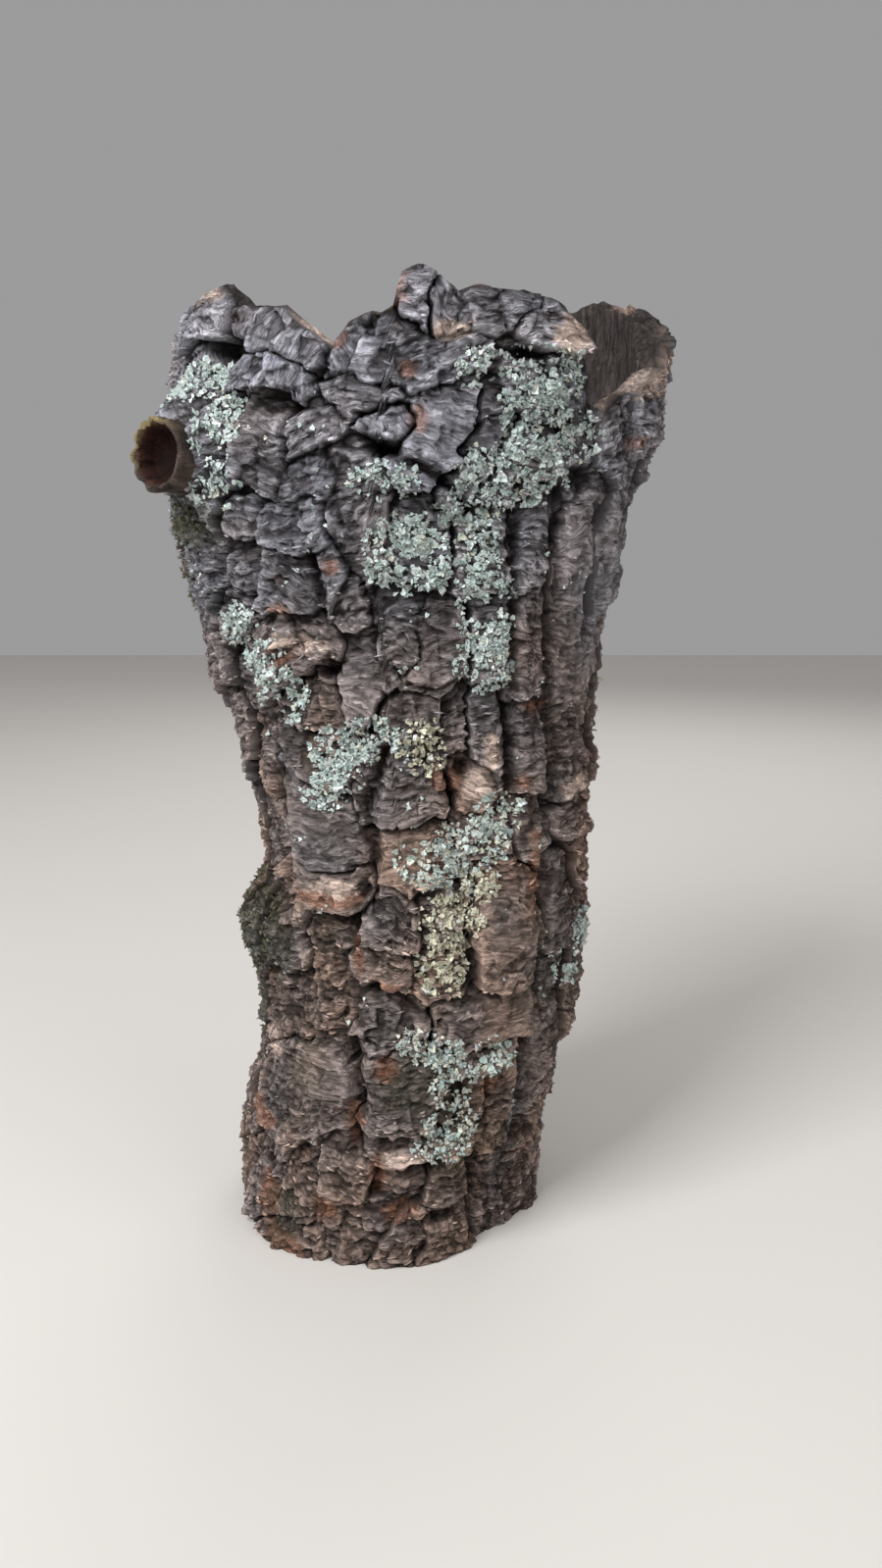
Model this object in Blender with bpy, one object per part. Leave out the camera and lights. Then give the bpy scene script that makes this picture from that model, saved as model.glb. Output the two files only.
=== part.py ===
"""Cork branch: a hollow length of cork-oak bark that stands on its flat-cut lower end.

The bark grew as one tube, so it is one object. A short side branch with a blind hole plugs into
its upper left side, and each patch of leafy lichen that grows on the bark is an object of its own.
Tables are in millimetres. The front of the branch faces -Y, and angles run from the front to +X.
"""

import math

import bmesh
import bpy
import numpy as np
from mathutils import Matrix, Vector
from mathutils.bvhtree import BVHTree

MM = 0.001
GAP = 0.5  # clearance between touching pieces, in mm
MIDDLE = (15.75, 3.76)  # middle of the finished branch's outline seen from above

# Height above the base, middle of the width, half width, middle of the depth, half depth
SECTIONS = np.array([
    (-10, 1, 77, 7, 78),
    (20, 2, 78, 7, 79),
    (54, 5, 79, 6, 78),
    (90, 12, 78, 4, 75),
    (125, 19, 82, 2, 73),
    (165, 21, 83, 1, 72),
    (203, 21, 82, 0, 71),
    (236, 17, 84, 0, 71),
    (268, 14, 88, 0, 72),
    (299, 13, 94, 2, 74),
    (330, 11, 100, 4, 77),
    (359, 9, 107, 5, 80),
    (389, 9, 113, 6, 82),
    (420, 15, 119, 7, 84),
    (450, 20, 119, 8, 85),
    (490, 24, 116, 8, 86),
], float)

# Angle round the branch in degrees and height of the broken upper rim there
RIM = np.array([
    (-180, 468), (-150, 462), (-120, 456), (-95, 452), (-76, 464), (-62, 473), (-52, 477),
    (-42, 468), (-31, 464), (-27, 458), (-23.5, 454), (-18.5, 447), (-15.5, 456), (-8, 460),
    (-6.3, 463), (-4.8, 477), (-1, 480), (3, 476), (7, 468), (13, 469), (20, 471), (27, 467),
    (31, 461), (36, 456), (38.5, 444), (41, 427), (47, 421), (52, 429), (62, 437), (76, 447),
    (86, 461), (98, 473), (112, 482), (130, 487), (150, 482), (180, 468),
], float)

WALL = 17.0  # bark thickness, from the mean outer surface to the hollow
WALL_AT_RIM = 12.5
FOOT = -8.0  # the tube is built down to here and then cut flat at the base

# Bark plates seen from the front: place across and up, half width, half length, lean to the
# right at the top in degrees, and how far the plate stands out
PLATES = [
    (-76, 470, 13, 11, 0, 5), (-42, 452, 14, 27, -52, 4), (-44, 436, 7, 19, -68, 7),
    (-32, 413, 15, 10, -14, 3), (-53, 409, 9, 18, 8, 4), (-69, 398, 8, 22, -6, 5),
    (-30, 392, 12, 9, 0, 3), (-84, 434, 11, 15, 38, 2), (-98, 448, 8, 12, 0, 3),
    (-9, 451, 9, 18, 30, 3), (5, 444, 10, 13, 10, 4), (-6, 428, 14, 9, 0, 4),
    (3, 468, 6, 8, 0, 3), (17, 473, 9, 15, 0, 8), (31, 466, 11, 7, 60, 5),
    (45, 461, 11, 9, 0, 6), (60, 463, 10, 9, 0, 7), (80, 454, 14, 12, -10, 10),
    (28, 441, 14, 9, -20, 6), (28, 413, 11, 18, 25, 8), (5, 417, 11, 7, 40, 5),
    (45, 403, 6, 20, 15, 3), (51, 424, 6, 12, 0, 3), (63, 430, 15, 15, 0, 4),
    (84, 432, 12, 13, 0, 4), (64, 398, 17, 12, 0, 5), (88, 400, 9, 14, 0, 3),
    (104, 408, 9, 16, -25, 6), (122, 420, 12, 11, 0, 8), (118, 394, 10, 15, 0, 4),
    (-38, 372, 13, 10, -15, 6), (-60, 378, 9, 10, 20, 3), (-78, 354, 10, 16, 0, 4),
    (-58, 352, 9, 12, 0, 3), (-41, 345, 13, 13, 25, 6), (-22, 351, 6, 14, -8, 6),
    (-12, 341, 6, 10, 0, 4), (-7, 378, 9, 28, -15, 3), (-66, 329, 12, 9, 0, 4),
    (-48, 318, 15, 6, -38, 6), (-30, 326, 10, 10, 0, 3), (-45, 302, 10, 7, -25, 7),
    (-63, 293, 9, 16, 0, -3), (-8, 303, 12, 18, 0, 3), (-27, 286, 13, 13, 0, 3),
    (10, 327, 8, 16, 0, 2), (26, 317, 12, 17, 0, 4), (20, 360, 14, 14, 0, 3),
    (45, 360, 13, 18, 10, 4), (15, 285, 13, 14, 0, 3), (33, 283, 8, 16, -6, 1),
    (50, 318, 9, 18, 0, 5), (51, 280, 8, 17, 0, 4), (71, 372, 9, 26, 4, 4),
    (70, 318, 9, 26, 0, 5), (69, 268, 8, 22, 0, 4), (91, 368, 9, 28, 5, 5),
    (91, 312, 10, 26, 2, 4), (88, 262, 8, 20, 0, 4), (-31, 262, 14, 13, 0, 4),
    (-30, 230, 15, 24, -6, 6), (-24, 200, 17, 10, 0, 10), (14, 249, 17, 24, 0, 5),
    (17, 218, 18, 15, 0, 4), (-60, 232, 9, 26, 0, -2), (-58, 262, 9, 12, 0, 3),
    (42, 252, 9, 16, 12, 1), (46, 226, 13, 11, 0, 4), (72, 226, 9, 14, 0, 4),
    (90, 226, 9, 11, 0, 7), (-48, 165, 12, 20, 0, 2), (-24, 178, 14, 9, 0, -4),
    (5, 184, 12, 13, 20, 7), (28, 188, 10, 16, 0, 2), (62, 180, 16, 30, -3, 8),
    (88, 186, 8, 28, 0, 2), (102, 180, 7, 34, 0, 4), (3, 158, 15, 8, -8, 8),
    (32, 163, 11, 13, 0, 5), (-47, 130, 14, 16, 0, 3), (-23, 142, 9, 14, 0, 2),
    (3, 132, 14, 9, 0, 5), (56, 134, 21, 12, 0, 8), (84, 140, 9, 20, 0, 2),
    (40, 114, 20, 7, -10, 9), (14, 95, 16, 17, 0, 7), (-36, 92, 20, 19, 0, 8),
    (-66, 92, 10, 18, 0, 3), (39, 88, 12, 12, 0, 3), (61, 84, 9, 30, -3, 1),
    (80, 96, 9, 26, -3, 4), (27, 68, 12, 8, 0, 8), (3, 64, 13, 8, 0, 6),
    (12, 48, 14, 9, 0, -3), (-19, 51, 9, 13, 20, 7), (-39, 37, 10, 16, 30, 5),
    (-60, 33, 10, 16, 0, 4), (-44, 8, 14, 9, -20, 7), (-15, 14, 12, 12, 0, 5),
    (7, 6, 9, 11, 0, 8), (31, 11, 13, 12, 0, 9), (36, 38, 11, 13, 0, 4),
    (57, 27, 9, 17, 0, 5), (73, 44, 9, 18, 0, 4), (-70, 62, 9, 14, 0, 2),
]

# Side and back plates follow a jittered lattice between these angles
SIDE_START, SIDE_END, SIDE_STEP = 74.0, 286.0, 17.0
SIDE_RISE_STEP = 62.0

# Pits and hollows: across, up, half width, half height, depth
PITS = [
    (-69, 450, 8, 6, 13), (-42, 425, 13, 6, 8), (4, 404, 8, 5, 13), (-24, 307, 5, 5, 9),
    (-3, 148, 6, 5, 9), (-22, 184, 13, 5, 8), (88, 214, 9, 4, 8), (56, 118, 10, 3, 6),
    (15, 50, 12, 5, 7), (27, 23, 8, 4, 7), (67, 444, 10, 3, 6), (-62, 282, 10, 14, 4),
    (90, 392, 6, 6, 6), (74, 52, 4, 5, 6),
]

# Deep furrows: points across and up, then half width and depth
FURROWS = [
    ([(-4, 410), (14, 399), (30, 391), (44, 376)], 3.0, 8.0),
    ([(3, 268), (-6, 243), (-3, 216), (-8, 190)], 3.5, 7.0),
    ([(-50, 252), (-46, 222), (-39, 190)], 3.5, 6.0),
    ([(-12, 120), (-10, 90), (-14, 62)], 3.5, 6.0),
    ([(62, 390), (61, 335), (60, 290), (61, 245)], 3.0, 5.5),
    ([(80, 390), (80, 330), (79, 285), (80, 236)], 3.0, 6.0),
    ([(79, 212), (78, 170), (74, 120), (71, 60)], 3.5, 6.5),
    ([(44, 212), (43, 180), (42, 152)], 3.0, 5.0),
    ([(101, 380), (101, 320), (98, 262)], 3.0, 6.0),
    ([(14, 301), (24, 298), (38, 302)], 1.6, 5.0),
    ([(-29, 360), (-26, 345), (-22, 333)], 2.4, 6.0),
    ([(-17, 466), (-19, 448), (-23, 436)], 2.4, 6.0),
    ([(46, 60), (48, 30), (46, 4)], 3.0, 6.0),
]

# Swellings: angle in degrees, height, half width, half height, how far they stand out
SWELLINGS = [
    (-77, 166, 21, 22, 14), (-58, 408, 25, 24, 22), (-50, 4, 24, 26, 8),
    (44, 4, 34, 44, -13), (80, 222, 16, 14, 3), (150, 300, 40, 30, 5), (-150, 120, 34, 34, 5),
]

# The short side branch: middle of its lip, its direction, length and radii
STUB_LIP = (-101.0, -60.0, 403.0)
STUB_DIRECTION = (-0.58, -0.81, 0.03)
STUB_LENGTH = 35.0
STUB_RADIUS, STUB_ROOT_RADIUS = 16.5, 18.5
STUB_HOLE_RADIUS, STUB_HOLE_DEPTH = 13.0, 12.0
STUB_SIDES = 20

# Lichen: blobs across, up, half width, half height; the last group is given by angle instead
LICHENS = {
    "lichen_crown": [(66, 436, 26, 12), (70, 416, 14, 16), (88, 412, 12, 10), (60, 393, 24, 13)],
    "lichen_shoulder": [(4, 390, 12, 8)],
    "lichen_middle": [(12, 358, 14, 17), (34, 362, 18, 17), (40, 378, 12, 8), (50, 332, 12, 18),
                      (48, 308, 12, 12)],
    "lichen_left_flank": [(-66, 326, 12, 9), (-54, 308, 11, 10), (-43, 292, 10, 12)],
    "lichen_waist": [(-2, 274, 13, 10), (-18, 266, 14, 12), (-26, 250, 12, 12)],
    "lichen_pale_spot": [(21, 270, 9, 12)],
    "lichen_centre": [(24, 214, 14, 10), (42, 222, 15, 12), (32, 206, 12, 7), (56, 236, 11, 9)],
    "lichen_yellow_strip": [(44, 202, 10, 8), (33, 184, 13, 12), (31, 162, 12, 13)],
    "lichen_lower": [(22, 121, 13, 8), (42, 114, 20, 9), (36, 97, 12, 10)],
    "lichen_low_block": [(32, 78, 13, 7), (28, 66, 12, 7)],
    "lichen_right_edge": [(99, 165, 11, 10), (91, 148, 11, 10)],
}
LICHENS_BY_ANGLE = {
    "lichen_collar": [(-54, 436, 18, 9), (-43, 414, 9, 15), (-44, 388, 10, 9)],
    "lichen_right_side": [(112, 330, 18, 24), (104, 298, 12, 14)],
    "lichen_back_upper": [(172, 404, 24, 20), (190, 384, 18, 16)],
    "lichen_back_lower": [(214, 214, 18, 26), (204, 184, 14, 14)],
}
LICHEN_THICKNESS = 2.6
LICHEN_EDGE = 0.4  # share of the thickness left at a patch's edge
LICHEN_COLUMNS, LICHEN_ROWS, LICHEN_CELL = 96, 84, 5.8  # lattice round and up the whole branch
LICHEN_SAMPLES = 4  # rays per cell each way when the bark beneath is measured

COLUMNS, OUTER_ROWS, RIM_ROWS, INNER_ROWS, FOOT_ROWS = 260, 210, 4, 70, 3
TRUNK_TRIANGLES = 6250

BARK_COLOUR = (0.145, 0.118, 0.098, 1)
STUB_COLOUR = (0.085, 0.055, 0.043, 1)
LICHEN_COLOUR = (0.42, 0.50, 0.44, 1)
YELLOW_LICHEN_COLOUR = (0.46, 0.43, 0.28, 1)


def clear_scene():
    """Removes the objects that the file opened with."""
    for old in list(bpy.data.objects):
        bpy.data.objects.remove(old)


def smoothstep(low, high, value):
    """0 below low, 1 above high, and a smooth rise between them."""
    share = np.clip((value - low) / (high - low), 0, 1)
    return share * share * (3 - 2 * share)


def lattice_value(x, y, z, seed):
    """A fixed pseudo-random number from 0 to 1 for each whole-number point of a 3D lattice."""
    mixed = (x * 73856093) ^ (y * 19349663) ^ (z * 83492791) ^ (seed * 2654435761)
    mixed &= 0xFFFFFFFF
    mixed = ((mixed ^ (mixed >> 15)) * 2246822519) & 0xFFFFFFFF
    mixed = ((mixed ^ (mixed >> 13)) * 3266489917) & 0xFFFFFFFF
    return ((mixed ^ (mixed >> 16)) & 0xFFFFFF) / 0xFFFFFF


def noise(points, size, seed):
    """Smooth noise from -1 to 1 whose lumps are about size across."""
    scaled = points / size
    cell = np.floor(scaled).astype(np.int64)
    share = scaled - cell
    share = share * share * (3 - 2 * share)
    total = 0
    for corner in range(8):
        step = np.array([corner & 1, corner >> 1 & 1, corner >> 2 & 1])
        weight = np.prod(np.where(step, share, 1 - share), axis=-1)
        at = cell + step
        total = total + weight * lattice_value(at[..., 0], at[..., 1], at[..., 2], seed)
    return 2 * total - 1


def section_at(height):
    """Middle and half size of the smooth cross-section at each height, as four arrays."""
    fine = np.arange(-20.0, 520.0, 4.0)
    kernel = np.hanning(11)[1:-1]
    kernel /= kernel.sum()
    found = []
    for column in range(1, 5):
        values = np.interp(fine, SECTIONS[:, 0], SECTIONS[:, column])
        padded = np.pad(values, len(kernel) // 2, mode="edge")
        found.append(np.interp(height, fine, np.convolve(padded, kernel, mode="valid")))
    return found


def smooth_surface(angle, height):
    """Points of the smooth outer surface and its level outward direction, in mm."""
    mid_x, half_x, mid_y, half_y = section_at(height)
    points = np.stack([mid_x + half_x * np.sin(angle), mid_y - half_y * np.cos(angle), height], -1)
    outward = np.stack([half_y * np.sin(angle), -half_x * np.cos(angle), 0 * angle], -1)
    return points, outward / np.linalg.norm(outward, axis=-1, keepdims=True)


def angle_at(across, height):
    """Angle round the branch of a place on its front, given by how far across and up it is."""
    mid_x, half_x, _, _ = section_at(height)
    return np.arcsin(np.clip((across - mid_x) / half_x, -0.999, 0.999))


def turn_between(angle, other):
    """Angle from other to angle, the short way round."""
    return (angle - other + math.pi) % (2 * math.pi) - math.pi


def all_plates():
    """Every bark plate as angle, height, half width, half length, lean in radians and rise."""
    rows = [(float(angle_at(x, z)), z, w, l, math.radians(lean), rise)
            for x, z, w, l, lean, rise in PLATES]
    rng = np.random.default_rng(7)
    for column, angle in enumerate(np.arange(SIDE_START, SIDE_END, SIDE_STEP)):
        start = 8 + SIDE_RISE_STEP * 0.5 * (column % 2)
        for height in np.arange(start, 500, SIDE_RISE_STEP):
            shift, lift, wide, long, lean, rise = rng.uniform(-1, 1, 6)
            rows.append((math.radians(angle + 4 * shift), height + 16 * lift,
                         12 + 3 * wide, 36 + 14 * long, math.radians(12 * lean), 4 + 3 * rise))
    return np.array(rows)


def plate_relief(angle, height, around):
    """Height of the bark plates over the smooth surface, with the furrows between them.

    Each point belongs to the plate whose rounded box is nearest, measured in that plate's own
    widths. Where two plates are equally near there is a furrow, deep between neighbours side by
    side and shallow between one plate and the next above it. Some furrows have hardly opened, so
    that only a step is left there. Each plate also has a tilt of its own.
    """
    plates = all_plates()
    nearest = np.full(angle.shape, 1e9)
    second = np.full(angle.shape, 1e9)
    owner = np.zeros(angle.shape, int)
    rival = np.zeros(angle.shape, int)
    side_owner, along_owner = np.zeros(angle.shape), np.zeros(angle.shape)
    for index, (at, up, wide, long, lean, _) in enumerate(plates):
        across = turn_between(angle, at) * around
        rise = height - up
        side = (across * math.cos(lean) - rise * math.sin(lean)) / wide
        along = (across * math.sin(lean) + rise * math.cos(lean)) / long
        distance = np.abs(side) ** 3 + np.abs(along) ** 3
        closer = distance < nearest
        runner_up = ~closer & (distance < second)
        second = np.where(closer, nearest, np.where(runner_up, distance, second))
        rival = np.where(closer, owner, np.where(runner_up, index, rival))
        owner = np.where(closer, index, owner)
        side_owner = np.where(closer, side, side_owner)
        along_owner = np.where(closer, along, along_owner)
        nearest = np.where(closer, distance, nearest)
    nearest, second = np.cbrt(nearest), np.cbrt(second)
    apart = np.abs(turn_between(plates[owner, 0], plates[rival, 0])) * around
    above = np.abs(plates[owner, 1] - plates[rival, 1])
    side_by_side = apart / (apart + above + 1e-6)
    pair = lattice_value(np.minimum(owner, rival), np.maximum(owner, rival), 0 * owner, 71)
    opened = smoothstep(0.25, 0.95, pair)
    furrow = 1 - smoothstep(0.0, 0.05 + (0.07 + 0.22 * side_by_side) * opened, second - nearest)
    furrow = furrow * (0.2 + 0.8 * opened)
    crown = 0.8 * (1 - np.clip(nearest, 0, 1.3) ** 2)
    tilt = 3.2 * (lattice_value(owner, 0 * owner, 0 * owner, 72) - 0.5)
    lap = -2.3 * np.clip(along_owner, -1.2, 1.2) + tilt * np.clip(side_owner, -1.2, 1.2)
    top = plates[owner, 5] + crown + lap
    return top * (1 - furrow) - (1.5 + 4.5 * side_by_side) * furrow


def block_relief(points, size, seed):
    """Small blocks and chips: each cell of a jittered lattice has its own height."""
    scaled = points / size
    cell = np.floor(scaled).astype(np.int64)
    best = np.full(points.shape[:-1], 1e9)
    level = np.zeros(points.shape[:-1])
    for index in range(27):
        step = np.array([index % 3 - 1, index // 3 % 3 - 1, index // 9 - 1])
        at = cell + step
        jitter = np.stack([lattice_value(*np.moveaxis(at, -1, 0), seed + k) for k in range(3)], -1)
        distance = np.sum((scaled - at - jitter) ** 2, axis=-1)
        closer = distance < best
        level = np.where(closer, lattice_value(*np.moveaxis(at, -1, 0), seed + 3), level)
        best = np.where(closer, distance, best)
    return 2 * level - 1


def distance_to_line(across, height, route):
    """Shortest distance from each place to a line through the route's points."""
    best = np.full(across.shape, 1e9)
    for (x0, z0), (x1, z1) in zip(route, route[1:]):
        dx, dz = x1 - x0, z1 - z0
        share = np.clip(((across - x0) * dx + (height - z0) * dz) / (dx * dx + dz * dz), 0, 1)
        best = np.minimum(best, np.hypot(across - x0 - share * dx, height - z0 - share * dz))
    return best


def relief(angle, height):
    """How far the bark stands out from the smooth surface, in mm."""
    points, _ = smooth_surface(angle, height)
    _, half_x, _, half_y = section_at(height)
    around = (half_x + half_y) / 2
    wander = 5 * noise(points, 22, 1) + 2.2 * noise(points, 9, 2)
    drift = 5 * noise(points, 24, 3) + 2.2 * noise(points, 9, 4)
    out = plate_relief(angle + wander / around, height + drift, around)
    out += 3.0 * noise(points, 45, 5) + 0.9 * noise(points, 6, 6)
    rough = 0.5 + 0.5 * smoothstep(-0.4, 0.5, noise(points, 60, 7))
    out += 1.5 * rough * block_relief(points + 1.5 * noise(points, 5, 8)[..., None], 10.0, 20)
    front = np.cos(angle) > 0
    across = points[..., 0] + 0.35 * wander
    up = height + 0.35 * drift
    for x, z, wide, tall, deep in PITS:
        spread = ((across - x) / wide) ** 2 + ((up - z) / tall) ** 2
        out -= np.where(front, deep * np.exp(-spread * spread), 0)
    for route, wide, deep in FURROWS:
        away = distance_to_line(across, up, route)
        out -= np.where(front, deep * np.exp(-((away / wide) ** 2)), 0)
    for degrees, z, wide, tall, rise in SWELLINGS:
        side = turn_between(angle, math.radians(degrees)) * around / wide
        out += rise * np.exp(-(side**2) - ((height - z) / tall) ** 2)
    return np.clip(out, -15.0, 28.0)


def rim_height(angle):
    """Height of the broken upper edge at each angle, with small chips."""
    degrees = np.degrees(angle)
    edge = np.interp((degrees + 180) % 360 - 180, RIM[:, 0], RIM[:, 1])
    ring = np.stack([100 * np.sin(angle), 100 * np.cos(angle), 0 * angle], -1)
    return edge + 1.6 * noise(ring, 9, 31) + 0.9 * noise(ring, 4, 32)


def hollow_surface(angle, height):
    """Points of the hollow's wall, in mm."""
    points, outward = smooth_surface(angle, height)
    thickness = WALL + (WALL_AT_RIM - WALL) * smoothstep(380, 460, height)
    thickness = thickness + 1.6 * noise(points, 34, 41)
    return points - outward * thickness[..., None]


def grid_mesh(name, points, closed_rows):
    """A mesh of quads from a grid of points that wraps round in its columns."""
    rows, columns = points.shape[:2]
    index = np.arange(rows * columns).reshape(rows, columns)
    right = np.roll(index, -1, axis=1)
    if closed_rows:
        up, up_right = np.roll(index, -1, axis=0), np.roll(right, -1, axis=0)
        quads = np.stack([index, right, up_right, up], -1).reshape(-1, 4)
    else:
        quads = np.stack([index[:-1], right[:-1], right[1:], index[1:]], -1).reshape(-1, 4)
    mesh = bpy.data.meshes.new(name)
    mesh.from_pydata((points * MM).reshape(-1, 3).tolist(), [], quads.tolist())
    return mesh


def add_object(name, mesh, material=None):
    """Links a new object that shows the mesh."""
    made = bpy.data.objects.new(name, mesh)
    bpy.context.scene.collection.objects.link(made)
    if material:
        mesh.materials.append(material)
    return made


def apply_modifiers(target):
    """Gives the object the mesh that its modifiers make."""
    graph = bpy.context.evaluated_depsgraph_get()
    mesh = bpy.data.meshes.new_from_object(target.evaluated_get(graph))
    target.modifiers.clear()
    target.data = mesh


def cut(target, cutter):
    """Takes the cutter's shape out of the target for good, and hides the cutter."""
    cutter.hide_render = True
    cutter.display_type = "WIRE"
    boolean = target.modifiers.new("Cut", "BOOLEAN")
    boolean.operation = "DIFFERENCE"
    boolean.object = cutter
    apply_modifiers(target)


def make_material(name, colour, roughness):
    """A plain finish of one colour."""
    material = bpy.data.materials.new(name)
    material.use_nodes = True
    shader = material.node_tree.nodes["Principled BSDF"]
    shader.inputs["Base Color"].default_value = colour
    shader.inputs["Roughness"].default_value = roughness
    return material


def trunk_points():
    """The tube as a grid: up the outside, over the rim, down the hollow and across the foot."""
    angle = np.linspace(-math.pi, math.pi, COLUMNS, endpoint=False)
    top = rim_height(angle)
    share = np.linspace(0, 1, OUTER_ROWS)[:, None]
    height = FOOT + share * (top - FOOT)
    spread = np.broadcast_to(angle, height.shape)
    outside, outward = smooth_surface(spread, height)
    outside = outside + outward * relief(spread, height)[..., None]
    share = np.linspace(1, 0, INNER_ROWS)[:, None]
    height = FOOT + share * (top - 1.5 - FOOT)
    inside = hollow_surface(np.broadcast_to(angle, height.shape), height)

    def bridge(start, end, rows, bulge):
        mix = np.linspace(0, 1, rows + 2)[1:-1, None, None]
        between = start + mix * (end - start)
        between[..., 2] += bulge * np.sin(math.pi * mix[..., 0])
        return between

    over = bridge(outside[-1], inside[0], RIM_ROWS, 1.5)
    under = bridge(inside[-1], outside[0], FOOT_ROWS, 0)
    return np.concatenate([outside, over, inside, under])


def make_trunk(material):
    """The bark tube, thinned to the triangles that its form needs and cut flat at the base."""
    trunk = add_object("trunk", grid_mesh("trunk", trunk_points(), closed_rows=True))
    triangles = 2 * len(trunk.data.polygons)
    thin = trunk.modifiers.new("Thin", "DECIMATE")
    thin.ratio = TRUNK_TRIANGLES / triangles
    apply_modifiers(trunk)
    depth = 60.0
    bpy.ops.mesh.primitive_cube_add(size=1, location=(0, 0, -depth / 2 * MM))
    saw = bpy.context.object
    saw.name = "saw_cut"
    saw.scale = (500 * MM, 500 * MM, depth * MM)
    cut(trunk, saw)
    trunk.data.materials.clear()
    trunk.data.materials.append(material)
    return trunk


def stub_frame():
    """The stub's direction and two directions across it."""
    along = np.array(STUB_DIRECTION)
    along /= np.linalg.norm(along)
    side = np.cross(along, (0, 0, 1))
    side /= np.linalg.norm(side)
    return along, side, np.cross(side, along)


def stub_mesh(name, grow, hollow):
    """The stub as rings round its axis; grow widens it, and hollow gives it its blind hole."""
    along, side, up = stub_frame()
    tip = np.array(STUB_LIP)
    turn = np.linspace(0, 2 * math.pi, STUB_SIDES, endpoint=False)
    root = -STUB_LENGTH - grow
    outline = [(root, 0), (root, STUB_ROOT_RADIUS * 0.6), (root, STUB_ROOT_RADIUS),
               (-24, 17.6), (-15, 16.8), (-9, STUB_RADIUS), (-4, STUB_RADIUS + 0.4)]
    if hollow:
        outline += [(0, STUB_RADIUS - 0.5), (0.6, STUB_HOLE_RADIUS + 1.5),
                    (-2, STUB_HOLE_RADIUS), (-9, STUB_HOLE_RADIUS - 0.5),
                    (-STUB_HOLE_DEPTH, STUB_HOLE_RADIUS * 0.75), (-STUB_HOLE_DEPTH - 1, 0)]
    else:
        outline += [(30, STUB_RADIUS + 0.6), (30, 0)]
    rings = []
    for depth, radius in outline:
        ring = tip + along * depth + np.outer(np.cos(turn), side) * radius
        ring = ring + np.outer(np.sin(turn), up) * radius
        rough = 1.3 * noise(ring, 8, 51) * (radius > 0)
        spoke = (ring - tip - along * depth) / max(radius, 1)
        facing = -1 if hollow and depth > -STUB_HOLE_DEPTH - 2 and radius < 15 else 1
        rings.append(ring + spoke * (rough + grow * facing)[:, None])
    shape = bmesh.new()
    layers = []
    for (_, radius), ring in zip(outline, rings):
        here = ring if radius else ring[:1]
        layers.append([shape.verts.new(point * MM) for point in here])
    for lower, upper in zip(layers, layers[1:]):
        for k in range(len(turn)):
            corners = [lower[k % len(lower)], lower[(k + 1) % len(lower)],
                       upper[(k + 1) % len(upper)], upper[k % len(upper)]]
            shape.faces.new(list(dict.fromkeys(corners)))
    bmesh.ops.recalc_face_normals(shape, faces=shape.faces)
    bmesh.ops.triangulate(shape, faces=shape.faces)
    mesh = bpy.data.meshes.new(name)
    shape.to_mesh(mesh)
    shape.free()
    return mesh


def bark_heights(trunk):
    """How far the finished bark stands out, on a fine lattice of angles and heights.

    The lattice is LICHEN_SAMPLES times finer than the one that the lichen is made on. Where a
    ray from outside finds no bark, such as above the broken rim, the value is not a number.
    """
    tree = BVHTree.FromPolygons([v.co for v in trunk.data.vertices],
                                [p.vertices for p in trunk.data.polygons])
    angle = np.arange(LICHEN_COLUMNS * LICHEN_SAMPLES) * 2 * math.pi
    angle = angle / (LICHEN_COLUMNS * LICHEN_SAMPLES) - math.pi
    height = np.arange(LICHEN_ROWS * LICHEN_SAMPLES) * LICHEN_CELL / LICHEN_SAMPLES
    spread, rise = np.broadcast_arrays(angle[None], height[:, None])
    points, outward = smooth_surface(spread, rise)
    reach = 60.0
    found = np.full(spread.shape, np.nan)
    for place in np.ndindex(found.shape):
        start = Vector((points[place] + reach * outward[place]) * MM)
        distance = tree.ray_cast(start, Vector(-outward[place]), 1.2 * reach * MM)[3]
        if distance is not None:
            found[place] = reach - distance / MM
    return found


def covering_heights(found):
    """The greatest height within one lichen cell of each lattice point, rays that miss kept."""
    most = found.copy()
    for _ in range(LICHEN_SAMPLES):
        wide = np.maximum(np.maximum(most, np.roll(most, 1, 1)), np.roll(most, -1, 1))
        padded = np.pad(wide, ((1, 1), (0, 0)), mode="edge")
        most = np.maximum(np.maximum(wide, padded[:-2]), padded[2:])
    return most[::LICHEN_SAMPLES, ::LICHEN_SAMPLES]


def connected(faces):
    """The largest group of triangles joined edge to edge, as a list of their numbers."""
    by_edge = {}
    for number, face in enumerate(faces):
        for a, b in zip(face, np.roll(face, -1)):
            by_edge.setdefault((min(a, b), max(a, b)), []).append(number)
    beside = {number: [] for number in range(len(faces))}
    for pair in by_edge.values():
        if len(pair) == 2:
            beside[pair[0]].append(pair[1])
            beside[pair[1]].append(pair[0])
    groups, seen = [], set()
    for start in beside:
        if start in seen:
            continue
        group, todo = [], [start]
        seen.add(start)
        while todo:
            here = todo.pop()
            group.append(here)
            fresh = [n for n in beside[here] if n not in seen]
            seen.update(fresh)
            todo += fresh
        groups.append(group)
    return max(groups, key=len)


def open_edges(faces):
    """The directed edges that only one triangle has."""
    edges = {(a, b) for face in faces for a, b in zip(face, np.roll(face, -1))}
    return [(a, b) for a, b in edges if (b, a) not in edges]


def clean_patch(faces):
    """One patch of triangles whose border never touches itself at a point."""
    while True:
        faces = faces[connected(faces)]
        border = [a for a, _ in open_edges(faces)]
        pinched = {a for a in border if border.count(a) > 1}
        if not pinched:
            return faces
        faces = faces[[not pinched & set(face) for face in faces]]


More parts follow.
